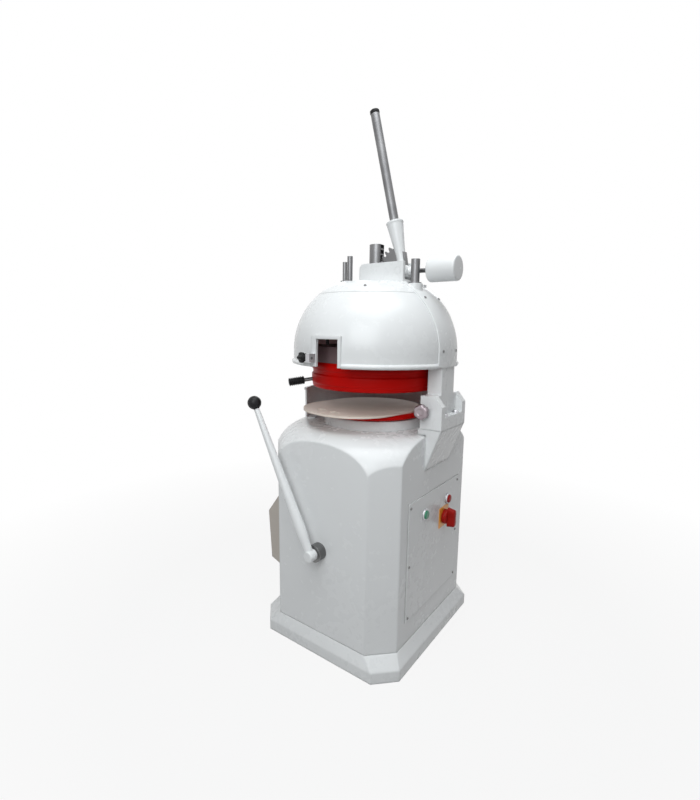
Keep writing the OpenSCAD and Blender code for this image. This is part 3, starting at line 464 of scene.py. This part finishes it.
# three directions: two square to the axis, by cross products, and the axis itself
def axes(direction):
    w = np.array(direction, float)
    w /= np.linalg.norm(w)
    side = np.array([0, 0, 1.0]) if abs(w[2]) < uprightLimit else np.array([1.0, 0, 0])
    u = np.cross(side, w)
    u /= np.linalg.norm(u)
    return u, np.cross(w, u), w


# angles of a full turn, without the last one
def fullTurn(count):
    return np.linspace(0, 2 * np.pi, count, endpoint=False)


# level direction at an angle from +X, in degrees
def outAt(degrees):
    angle = math.radians(degrees)
    return np.array([math.cos(angle), math.sin(angle), 0])


# direction that leans from +Z towards -X, in degrees
def leanAt(degrees):
    lean = math.radians(degrees)
    return np.array([-math.sin(lean), 0, math.cos(lean)])


# turned grid: profile points are (radius, distance along the axis), and the swell scales the radius
def turned(profile, origin, direction, count, swell=1.0):
    u, v, w = axes(direction)
    angle = fullTurn(count)
    profile = np.asarray(profile)
    radius = profile[:, :1] * np.broadcast_to(swell, (len(profile), count))
    ring = np.cos(angle)[:, None] * u + np.sin(angle)[:, None] * v
    return np.array(origin) + radius[..., None] * ring + profile[:, 1, None, None] * w


# turned shape whose profile closes on itself, so its rows close too
def ringOf(profile, origin, direction, count):
    return turned(profile, origin, direction, count), True


# turned shape whose profile starts and ends on the axis
def solidOf(profile, origin, direction, count, swell=1.0):
    return turned(profile, origin, direction, count, swell), False


# swell of a knob's head: none within the core's share of the radius, growing to all of it at the rim
def rimSwell(profile, radius, core, swell):
    return 1 + np.clip((profile[:, :1] / radius - core) / (1 - core), 0, 1) * (swell - 1)


# press lever: cast socket with a hub and a balance boss, steel rod and end cap
pressLever = {"pivot": (0.119, 0.0, 1.390), "lean": 13.8, "tip": 0.594, "rod": 0.0165,
              "socket": [(0.0, 0.0), (0.0172, 0.0), (0.0170, 0.045), (0.0193, 0.080), (0.0239, 0.118),
                         (0.0277, 0.150), (0.0305, 0.174), (0.0325, 0.178), (0.0318, 0.184),
                         (0.0166, 0.184), (0.0166, 0.126), (0.0, 0.126)],
              "socketEase": (0.002, 0.02, 0.02, 0.02, 0.01, 0.003, 0.003, 0.002, 0.001, 0.001),
              "hub": 0.026, "hubHalf": 0.0278, "hubBore": 0.01205, "hubEase": 0.004,
              "boss": [(0.0, 0.01), (0.016, 0.01), (0.0145, 0.046), (0.008, 0.046), (0.008, 0.034),
                       (0.0, 0.034)],
              "bossEase": 0.003, "rodStart": 0.126, "rodEase": 0.0006,
              "capLong": 0.014, "capGap": 0.0001, "capProud": 0.001, "capEase": 0.004}


# the socket, rod and cap are turned about the leaning line, the hub about the pivot and the boss about +X
def makePressLever(spec):
    pivot, along = spec["pivot"], leanAt(spec["lean"])
    hub, half, bore = spec["hub"], spec["hubHalf"], spec["hubBore"]
    hubLine = easeLine([(bore, -half), (hub, -half), (hub, half), (bore, half)], spec["hubEase"])
    casting = [solidOf(easeLine(spec["socket"], spec["socketEase"]), pivot, along, count=72),
               ringOf(hubLine, pivot, (0, 1, 0), count=72),
               solidOf(easeLine(spec["boss"], spec["bossEase"]), pivot, (1, 0, 0), count=48)]
    putPiece("leverCasting", casting, "enamelFine", "press_lever", ["lever_casting"])
    rod, start, tip = spec["rod"], spec["rodStart"], spec["tip"]
    end = tip - spec["capLong"]
    rodLine = easeLine([(0, start), (rod, start), (rod, end), (0, end)], spec["rodEase"])
    rodGrid = solidOf(rodLine, pivot, along, count=64)
    putPiece("leverRod", [rodGrid], "barSteel", "press_lever", ["lever_rod"])
    cap, root = rod + spec["capProud"], end + spec["capGap"]
    capLine = easeLine([(0, root), (cap, root), (cap, tip), (0, tip)], spec["capEase"])
    capGrid = solidOf(capLine, pivot, along, count=64)
    putPiece("leverCap", [capGrid], "knobBlack", "press_lever", ["lever_cap"])


# counterweight: turned drum with eased edges and a locking ring at its near end
counterweight = {"centre": (0.0, 0.0, 1.390), "radius": 0.043, "near": 0.226, "far": 0.332, "bore": 0.0081,
                 "edges": (0.006, 0.007), "lockBore": 0.0082, "lockRadius": 0.017, "lockLong": 0.009,
                 "lockEase": 0.002}


# both outlines are turned about a line along +X
def makeCounterweight(spec):
    r, near, far, centre = spec["radius"], spec["near"], spec["far"], spec["centre"]
    drum = easeLine([(spec["bore"], near), (r, near), (r, far), (0, far)], spec["edges"])
    hole, lock, start = spec["lockBore"], spec["lockRadius"], near - spec["lockLong"]
    lockRing = easeLine([(hole, start), (lock, start), (lock, near), (hole, near)], spec["lockEase"])
    grids = [solidOf(drum, centre, (1, 0, 0), count=96), ringOf(lockRing, centre, (1, 0, 0), count=48)]
    putPiece("counterweightDrum", grids, "enamelFine", "press_lever", ["counterweight"])


# rounding lever: hub over the boss's end, tapered arm and ball
roundLever = {"pivot": (0.0, -0.3833, 0.4), "lean": 27.7, "length": 0.578, "ball": 0.025,
              "hub": 0.0205, "hubHalf": 0.017, "hubBore": 0.0141, "hubWall": 0.006,
              "hubEase": (0.005, 0.004, 0.001, 0.001),
              "arm": [(0, 0.010), (0.0150, 0.010), (0.0156, 0.040), (0.0195, 0.080), (0.0190, 0.12)],
              "thin": 0.0112, "thinBefore": 0.06, "armEnd": 0.0100,
              "armEase": (0.002, 0.012, 0.03, 0.03, 0.02, 0.001),
              "collar": [(0.0108, 0.0), (0.0112, 0.0018)], "ballStart": 0.42, "ballRows": 26}


# the arm and the ball are turned about the leaning line, the ball as a circle's arc, and the hub about +Y
def makeRoundLever(spec):
    pivot, along = spec["pivot"], leanAt(spec["lean"])
    hub, half, bore = spec["hub"], spec["hubHalf"], spec["hubBore"]
    length, ball = spec["length"], spec["ball"]
    floor, root = spec["hubWall"] - half, length - ball
    hubCorners = [(0, -half), (hub, -half), (hub, half), (bore, half), (bore, floor), (0, floor)]
    hubLine = easeLine(hubCorners, spec["hubEase"])
    armTip = [(spec["thin"], length - spec["thinBefore"]), (spec["armEnd"], root), (0, root)]
    armLine = easeLine(spec["arm"] + armTip, spec["armEase"], steps=8)
    arm = [solidOf(hubLine, pivot, (0, 1, 0), count=72), solidOf(armLine, pivot, along, count=56)]
    putPiece("roundLeverArm", arm, "enamelFine", "round_lever", ["rounding_lever"])
    turn = np.linspace(-0.5 * np.pi + spec["ballStart"], 0.5 * np.pi, spec["ballRows"])
    ballLine = np.stack([ball * np.cos(turn), length + ball * np.sin(turn)], 1)
    collar = [(0, root)] + [(r, root + rise) for r, rise in spec["collar"]]
    ballGrid = solidOf(np.concatenate([collar, ballLine]), pivot, along, count=64)
    putPiece("leverBallKnob", [ballGrid], "knobBlack", "round_lever", ["lever_ball"])


# dividing ring: moulded wall with two raised bands, given as points of (depth under the outer face, rise)
dividingRing = {"inner": 0.206, "outer": 0.245, "low": 0.963, "top": 1.060, "lip": 0.005, "lipRise": 0.003,
                "bands": [(0.008, 0.0), (0.003, 0.005), (0.003, 0.016), (0.0, 0.019), (0.0, 0.050),
                          (0.005, 0.054), (0.005, 0.066), (0.001, 0.070), (0.001, 0.085), (0.007, 0.097)],
                "ease": (0.003, 0.004, 0.004, *[0.003] * 6, 0.005, 0.004, 0.002, 0.002)}


# the wall's closed outline is turned about the upright axis
def makeDividingRing(spec):
    a, low, top, lip = spec["inner"], spec["low"], spec["top"], spec["lip"]
    foot = (a, low + spec["lipRise"])
    bands = [(spec["outer"] - depth, low + rise) for depth, rise in spec["bands"]]
    line = easeLine([foot, (a + lip, low), *bands, (a + lip, top), (a, top - lip), foot], spec["ease"])
    wall = ringOf(line[:-1], (0, 0, 0), (0, 0, 1), count=200)
    putPiece("dividingRingWall", [wall], "ringRed", "ring", ["dividing_ring"])


# rounding table: flat disc with a bevelled and eased rim
roundTable = {"centre": (0.0, -0.012, 0.0), "radius": 0.206, "low": 0.860, "top": 0.878,
              "bevel": (0.006, 0.004), "ease": 0.003}


# the disc's outline is turned about its own upright axis
def makeRoundTable(spec):
    r, low, top, (inward, upward) = spec["radius"], spec["low"], spec["top"], spec["bevel"]
    rim = [(r - inward, low), (r, low + upward), (r, top - upward), (r - inward, top)]
    line = easeLine([(0, low), *rim, (0, top)], spec["ease"])
    disc = solidOf(line, spec["centre"], (0, 0, 1), count=180)
    putPiece("roundTableDisc", [disc], "ringRed", "table", ["table_disc"])


# ribbed grip on the ring's stud
ringGrip = {"turn": 228.0, "drop": 8.0, "root": 0.225, "height": 0.994, "start": 0.052, "length": 0.060,
            "radius": 0.0145, "rib": 0.0016, "ribs": 8, "ribSteep": 2.2, "rows": 90,
            "taper": 0.32, "taperFrom": 0.94,
            "socket": [(0, 0.0145), (0.0072, 0.012), (0.0072, 0.0), (0.0115, 0.0)]}


# the radius is a flattened sine wave along the grip and draws in at the end; it is turned about the stud
def makeRingGrip(spec):
    out, drop = outAt(spec["turn"]), math.radians(spec["drop"])
    origin = out * spec["root"] + np.array([0, 0, spec["height"]])
    along = out * math.cos(drop) - np.array([0, 0, math.sin(drop)])
    t = np.linspace(0, 1, spec["rows"])
    wave = np.sin(2 * np.pi * spec["ribs"] * t - 0.5 * np.pi)
    radius = spec["radius"] + spec["rib"] * np.tanh(spec["ribSteep"] * wave)
    radius *= 1 - spec["taper"] * np.clip((t - spec["taperFrom"]) / (1 - spec["taperFrom"]), 0, 1) ** 2
    side = np.stack([radius, t * spec["length"]], 1)
    line = np.concatenate([spec["socket"], side, [(0, spec["length"])]]) + np.array([0, spec["start"]])
    grip = solidOf(line, origin, along, count=48)
    putPiece("ringGripRibbed", [grip], "knobBlack", "ring", ["ring_grip"], sharp=60)


# star knob: five soft lobes round a turned core; the head's radii are shares of its own radius
starKnob = {"turn": 262.5, "radial": 0.338, "height": 1.083, "start": -0.024, "radius": 0.0168,
            "lobes": 5, "lobe": 0.16, "lobeSteep": 1.6, "lobeCore": 0.45, "count": 100,
            "head": [(0.0, 0.0005), (0.6, 0.0005), (0.94, 0.003), (1.0, 0.008), (1.0, 0.018), (0.9, 0.0235),
                     (0.5, 0.026), (0.0, 0.0262)], "headEase": 0.005,
            "core": [(0.0051, 0.006), (0.0051, -0.008), (0.009, -0.008), (0.009, 0.0), (0.0105, 0.001)],
            "coreEase": 0.001}


# the head swells with a flattened cosine of the turn, and head and core are turned about the screw
def makeStarKnob(spec):
    out = outAt(spec["turn"])
    side = np.array([out[1], -out[0], 0])
    origin = out * spec["radial"] + np.array([0, 0, spec["height"]]) - side * spec["start"]
    r, count = spec["radius"], spec["count"]
    swell = 1 + spec["lobe"] * np.tanh(spec["lobeSteep"] * np.cos(spec["lobes"] * fullTurn(count)))
    head = easeLine([(r * share, rise) for share, rise in spec["head"]], spec["headEase"])
    grids = [solidOf(head, origin, side, count, rimSwell(head, r, spec["lobeCore"], swell)),
             ringOf(easeLine(spec["core"], spec["coreEase"]), origin, side, count=48)]
    putPiece("starKnobLobed", grids, "knobBlack", "setting", ["star_knob"], sharp=50)


# clamp knob on the neck's foot: fluted head, turned collar and stud; the head's radii are shares of its own
footKnob = {"centre": (0.275, -0.100, 0.905), "radius": 0.0272, "flutes": 6, "flute": 0.10, "fluteWide": 0.25,
            "fluteCore": 0.55, "count": 120,
            "head": [(0, 0.012), (0.8, 0.012), (1.0, 0.017), (1.0, 0.030), (0.86, 0.0355), (0.45, 0.0355),
                     (0.40, 0.0335), (0, 0.0335)], "headEase": (0.004, 0.005, 0.005, 0.005, 0.001, 0.001),
            "collar": [(0, -0.028), (0.006, -0.028), (0.006, 0.0004), (0.013, 0.0004), (0.0125, 0.0125),
                       (0, 0.0125)], "collarEase": (0.0008, 0.0005, 0.001, 0.001)}


# the head shrinks where a raised cosine of the turn is positive, and all is turned about -Y
def makeFootKnob(spec):
    r, wide, count = spec["radius"], spec["fluteWide"], spec["count"]
    swell = 1 - spec["flute"] * np.clip(np.cos(spec["flutes"] * fullTurn(count)) + wide, 0, 1 + wide)
    head = easeLine([(r * share, rise) for share, rise in spec["head"]], spec["headEase"])
    grids = [solidOf(head, spec["centre"], (0, -1, 0), count, rimSwell(head, r, spec["fluteCore"], swell)),
             solidOf(easeLine(spec["collar"], spec["collarEase"]), spec["centre"], (0, -1, 0), count=48)]
    putPiece("footKnobFluted", grids, "knobMetal", "clamp", ["foot_knob"], sharp=45)


# push buttons with domed caps in turned bezels, whose radii are counted from the cap's
pushButtons = {"face": 0.2855, "radius": 0.016, "finish": {"green": "keyGreen", "red": "keyRed"},
               "places": {"green": (-0.088, 0.528), "red": (0.104, 0.530)},
               "flange": 0.003, "flangeLow": -0.016, "flangeTop": -0.0095, "fit": 0.00005, "shoulder": 0.0105,
               "crown": (0.72, 0.0126), "top": 0.0130, "capEase": (0.001, 0.001, 0.0005, 0.0025, 0.004),
               "bezel": [(0.0002, 0), (0.005, 0), (0.005, 0.004), (0.0025, 0.007), (0.0002, 0.0066),
                         (0.0002, 0)], "bezelEase": (0.001, 0.002, 0.001, 0.0005)}


# caps and bezels are turned about +X
def makePushButtons(spec):
    r, (share, crown) = spec["radius"], spec["crown"]
    wide, side = r + spec["flange"], r - spec["fit"]
    low, step = spec["flangeLow"], spec["flangeTop"]
    flange = [(0, low), (wide, low), (wide, step)]
    dome = [(side, step), (side, spec["shoulder"]), (r * share, crown), (0, spec["top"])]
    cap = easeLine(flange + dome, spec["capEase"])
    bezel = easeLine([(r + gap, rise) for gap, rise in spec["bezel"]], spec["bezelEase"])
    bezels = []
    for name, place in spec["places"].items():
        origin = (spec["face"], *place)
        capGrid = solidOf(cap, origin, (1, 0, 0), count=56)
        putPiece(name + "ButtonCap", [capGrid], spec["finish"][name], name + "_key", [name + "_button"])
        bezels.append(ringOf(bezel[:-1], origin, (1, 0, 0), count=72))
    putPiece("buttonBezelPair", bezels, "turnedSteel", "frame", ["button_bezels"])


# main switch: turned base and a waisted handle bar, given as its size at each depth
mainSwitch = {"face": 0.2885, "place": (0.073, 0.468), "radius": 0.028,
              "spindle": 0.006, "spindleLow": -0.026, "gap": 0.0003,
              "baseSide": 0.012, "bevel": 0.004, "bevelTop": 0.020, "baseTop": 0.0205,
              "baseEase": (0.001, 0.0003, 0.002, 0.004, 0.004),
              "barHalf": (0.0118, 0.0360), "squareness": (0.5, 0.55), "barCount": 72,
              "barDepth": [0.017, 0.019, 0.026, 0.036, 0.043, 0.046, 0.0470, 0.0470],
              "barSize": [1.05, 1.05, 1.0, 0.96, 0.93, 0.85, 0.70, 0.0], "waist": 0.22, "waistReach": 0.10}


# power of a number's size that keeps its sign, which squares a circle up
def signedPower(value, power):
    return np.sign(value) * np.abs(value) ** power


# the base is turned about +X; the bar is a squared circle, narrowed near its middle and scaled at each depth
def makeMainSwitch(spec):
    face, (y, z), r = spec["face"], spec["place"], spec["radius"]
    pin, low, gap = spec["spindle"], spec["spindleLow"], spec["gap"]
    spindle = [(0, low), (pin, low), (pin, gap)]
    disc = [(r, gap), (r, spec["baseSide"]), (r - spec["bevel"], spec["bevelTop"]), (0, spec["baseTop"])]
    base = easeLine(spindle + disc, spec["baseEase"])
    turn = fullTurn(spec["barCount"])
    c, s = np.cos(turn), np.sin(turn)
    half, tall = spec["barHalf"]
    squareY, squareZ = spec["squareness"]
    depth, size = np.array(spec["barDepth"])[:, None], np.array(spec["barSize"])[:, None]
    waist = 1 - spec["waist"] * np.exp(-(s**2) / spec["waistReach"])
    barY = y + size * half * signedPower(c, squareY) * waist
    barZ = z + size * tall * signedPower(s, squareZ)
    barX = face + np.broadcast_to(depth, barY.shape)
    grids = [solidOf(base, (face, y, z), (1, 0, 0), count=72), (np.stack([barX, barY, barZ], -1), False)]
    putPiece("mainSwitchKnob", grids, "keyRed", "main_switch", ["switch_knob"], sharp=40)


# cover screws on the panel, the hood, the arm's band and the dome, and the two bolts of the neck's foot
coverScrews = {"radius": 0.0050, "height": 0.0030,
               "panel": {"x": 0.2855, "y": (-0.193, 0.193), "z": (0.177, 0.370, 0.583), "way": (1, 0, 0)},
               "hood": {"x": -0.2845, "y": (-0.238, 0.038), "z": (0.230, 0.490), "way": (-1, 0, 0)},
               "bandPlaces": ((9.5, 1.5), (12.8, 43.0)), "bandProud": 0.0041,
               "domePlaces": ((200.0, 56.0), (292.0, 56.0)), "domeProud": 0.0001,
               "arcOut": 0.041, "arcHeight": 1.103, "arcRadius": 0.273}
footBolts = {"x": 0.326, "y": (-0.046, 0.046), "z": 0.8860, "lift": 0.0003,
             "radius": 0.0110, "height": 0.0087,
             "washerBore": 0.0062, "washer": 0.0135, "washerThick": 0.0015, "washerEase": 0.0003}
screwShape = {"side": 0.55, "crown": 0.72, "mouth": 0.56, "recess": 0.5, "floor": 0.35, "count": 48,
              "ease": (0, 0.0008, 0.0006)}


# a turned head with a six-sided recess, whose radius is its flat's over the cosine of the turn from the flat
def screwHead(origin, direction, radius, height):
    shape, count = screwShape, screwShape["count"]
    sixth = math.pi / 3
    hexagon = math.cos(sixth / 2) / np.cos((fullTurn(count) % sixth) - sixth / 2)
    outer = [(0, 0), (radius, 0), (radius, height * shape["side"]), (radius * shape["crown"], height),
             (radius * shape["mouth"], height)]
    shell = turned(easeLine(outer, shape["ease"]), origin, direction, count)
    inner, floor = radius * shape["recess"], height * shape["floor"]
    recess = turned([(inner, height), (inner, floor), (0, floor)], origin, direction, count, hexagon)
    return np.concatenate([shell, recess]), False


# screws stand in rows on the flat sides, and on the dome where its arc has the given turn and lift
def makeCoverScrews(spec):
    size = spec["radius"], spec["height"]
    grids = []
    for row in (spec["panel"], spec["hood"]):
        grids += [screwHead((row["x"], y, z), row["way"], *size) for y in row["y"] for z in row["z"]]
    places = [(s * turn, lift, spec["bandProud"]) for s in (-1, 1) for turn, lift in spec["bandPlaces"]]
    places += [(turn, lift, spec["domeProud"]) for turn, lift in spec["domePlaces"]]
    for turn, lift, proud in places:
        out, rise = outAt(turn), math.radians(lift)
        normal = out * math.cos(rise) + np.array([0, 0, math.sin(rise)])
        arcCentre = out * spec["arcOut"] + np.array([0, 0, spec["arcHeight"]])
        grids.append(screwHead(arcCentre + normal * (spec["arcRadius"] + proud), normal, *size))
    putPiece("coverScrewHeads", grids, "bossSteel", "frame", ["cover_screws"], sharp=30)


# each bolt is a screw head over a turned washer
def makeFootBolts(spec):
    bore, rim, thick = spec["washerBore"], spec["washer"], spec["washerThick"]
    washer = easeLine([(bore, 0), (rim, 0), (rim, thick), (bore, thick), (bore, 0)], spec["washerEase"])
    grids = []
    for y in spec["y"]:
        seat = (spec["x"], y, spec["z"] + spec["lift"])
        grids.append(screwHead(seat, (0, 0, 1), spec["radius"], spec["height"]))
        grids.append(ringOf(washer[:-1], (spec["x"], y, spec["z"]), (0, 0, 1), count=48))
    putPiece("footBoltHeads", grids, "turnedSteel", "frame", ["foot_bolts"], sharp=30)


# thin grey gasket round the control panel
panelGasket = {"x": 0.2815, "half": 0.205, "low": 0.165, "top": 0.600, "wide": 0.0016, "thick": 0.0022,
               "inset": 0.0002, "bevel": 0.6}


# a bevelled strip is carried along the panel's outline, each of its corners moved out along both sides
def makeGasket(spec):
    h, low, top, w, t = spec["half"], spec["low"], spec["top"], spec["wide"], spec["thick"]
    corners = np.array([(-h, low), (h, low), (h, top), (-h, top)])
    outward = np.array([(-1, -1), (1, -1), (1, 1), (-1, 1)])
    inset, bevel = spec["inset"], spec["bevel"]
    across = np.array([(inset, 0), (w, 0), (w, t * bevel), (w * bevel, t), (inset, t)])
    flat = corners[:, None, :] + outward[:, None, :] * across[None, :, :1]
    x = spec["x"] + np.broadcast_to(across[None, :, 1], flat.shape[:2])
    strip = np.concatenate([x[..., None], flat], -1)
    putPiece("panelGasketStrip", [(strip, True)], "gasketGrey", "frame")


# rolled rim of the dome: a round bead bent along the rim, left out at the window and the arm
domeBead = {"radius": 0.3125, "height": 1.0590, "bead": 0.0085, "count": 24,
            "spans": ((13.6, 259.8), (282.8, 346.4))}


# each row is a circle square to the rim, and a row of size zero closes each end
def makeDomeBead(spec):
    around = fullTurn(spec["count"])
    grids = []
    for start, end in spec["spans"]:
        turn = np.radians(np.linspace(start, end, int(end - start)))
        turn = np.concatenate([turn[:1], turn, turn[-1:]])[:, None]
        thick = np.full(turn.shape, spec["bead"])
        thick[[0, -1]] = 0
        out = spec["radius"] + thick * np.cos(around)
        rise = spec["height"] + thick * np.sin(around)
        grids.append((np.stack([out * np.cos(turn), out * np.sin(turn), rise], -1), False))
    putPiece("domeRimBead", grids, "enamelHead", "frame", sharp=60)


makePressLever(pressLever)
makeCounterweight(counterweight)
makeRoundLever(roundLever)
print("levers made")
makeDividingRing(dividingRing)
makeRoundTable(roundTable)
makeRingGrip(ringGrip)
makeStarKnob(starKnob)
makeFootKnob(footKnob)
makeDomeBead(domeBead)
print("head and table pieces made")
makePushButtons(pushButtons)
makeMainSwitch(mainSwitch)
makeCoverScrews(coverScrews)
makeFootBolts(footBolts)
makeGasket(panelGasket)
print("controls and fasteners made")

# pale floor and soft light, white to the camera and to reflections
studio = {"floor": (0.46, 0.46, 0.46), "floorRough": 0.9, "floorHalf": 14.0, "floorDrop": 0.0002,
          "near": 0.88, "farBand": (1.0, 2.4), "white": (1, 1, 1, 1),
          "ambient": 0.13, "ambientColour": (1.0, 0.945, 0.935, 1), "lampColour": (0.95, 0.985, 1.0)}
seenRays = ("Is Camera Ray", "Is Glossy Ray", "Is Transmission Ray")


# a square floor; what the camera and reflections see of it is mostly white, and wholly white far away
def makeFloor(spec):
    half, low = spec["floorHalf"], -spec["floorDrop"]
    mesh = bpy.data.meshes.new("studioFloor")
    corners = [(-half, -half, low), (half, -half, low), (half, half, low), (-half, half, low)]
    mesh.from_pydata(corners, [], [(0, 1, 2, 3)])
    floor = addObject("studioFloor", mesh)
    f = Finish("studioFloor")
    cameraRay, glossyRay = (f.node("ShaderNodeLightPath", out=ray) for ray in seenRays[:2])
    far = f.band(f.vectors("LENGTH", f.place, out="Value"), *spec["farBand"])
    f.wear(baseColor=(*spec["floor"], 1), roughness=spec["floorRough"])
    glow = f.node("ShaderNodeEmission", {}, {"Color": spec["white"]})
    amount = (cameraRay + glossyRay).clamp() * (spec["near"] + far * (1 - spec["near"]))
    f.blendOnto("Material Output", amount, Sock(f, f.shader.outputs[0]), glow)
    mesh.materials.append(f.material)


# a white backdrop for seen rays, and a weak warm light for all others
def makeWorld(spec):
    world = bpy.data.worlds.new("studioWorld")
    world.use_nodes = True
    bpy.context.scene.world = world
    g = Graph(world.node_tree)
    backdrop = g.tree.nodes["Background"]
    g.feed(backdrop.inputs["Color"], spec["white"])
    g.feed(backdrop.inputs["Strength"], 1.0)
    dim = {"Color": spec["ambientColour"], "Strength": spec["ambient"]}
    ambient = g.node("ShaderNodeBackground", {}, dim)
    cameraRay, glossyRay, throughRay = (g.node("ShaderNodeLightPath", out=ray) for ray in seenRays)
    seen = cameraRay.maths("MAXIMUM", glossyRay).maths("MAXIMUM", throughRay)
    g.blendOnto("World Output", seen, ambient, Sock(g, backdrop.outputs[0]))


# soft boxes: place, target, size and power
softBoxes = {"keyFront": ((0.74, -2.28, 2.1), (0.0, 0.0, 0.8), 1.5, 30.0),
             "overhead": ((0.5, -0.75, 4.05), (0.0, 0.0, 1.0), 2.6, 83.0),
             "backFill": ((-1.3, 2.3, 2.2), (0.0, 0.0, 0.8), 1.8, 20.0)}


# each lamp stands at its place, and its back axis runs from the target to there
def makeLamps(boxes, colour):
    for name, (place, target, size, power) in boxes.items():
        lamp = bpy.data.lights.new(name, "AREA")
        lamp.shape, lamp.size, lamp.energy = "SQUARE", size, power
        lamp.color = colour
        stand = addObject(name, lamp)
        stand.matrix_world = poseOf(*axes(np.array(place) - np.array(target)), place)


makeFloor(studio)
makeWorld(studio)
makeLamps(softBoxes, studio["lampColour"])
bpy.context.scene.view_settings.view_transform = "Standard"
print("studio lit")
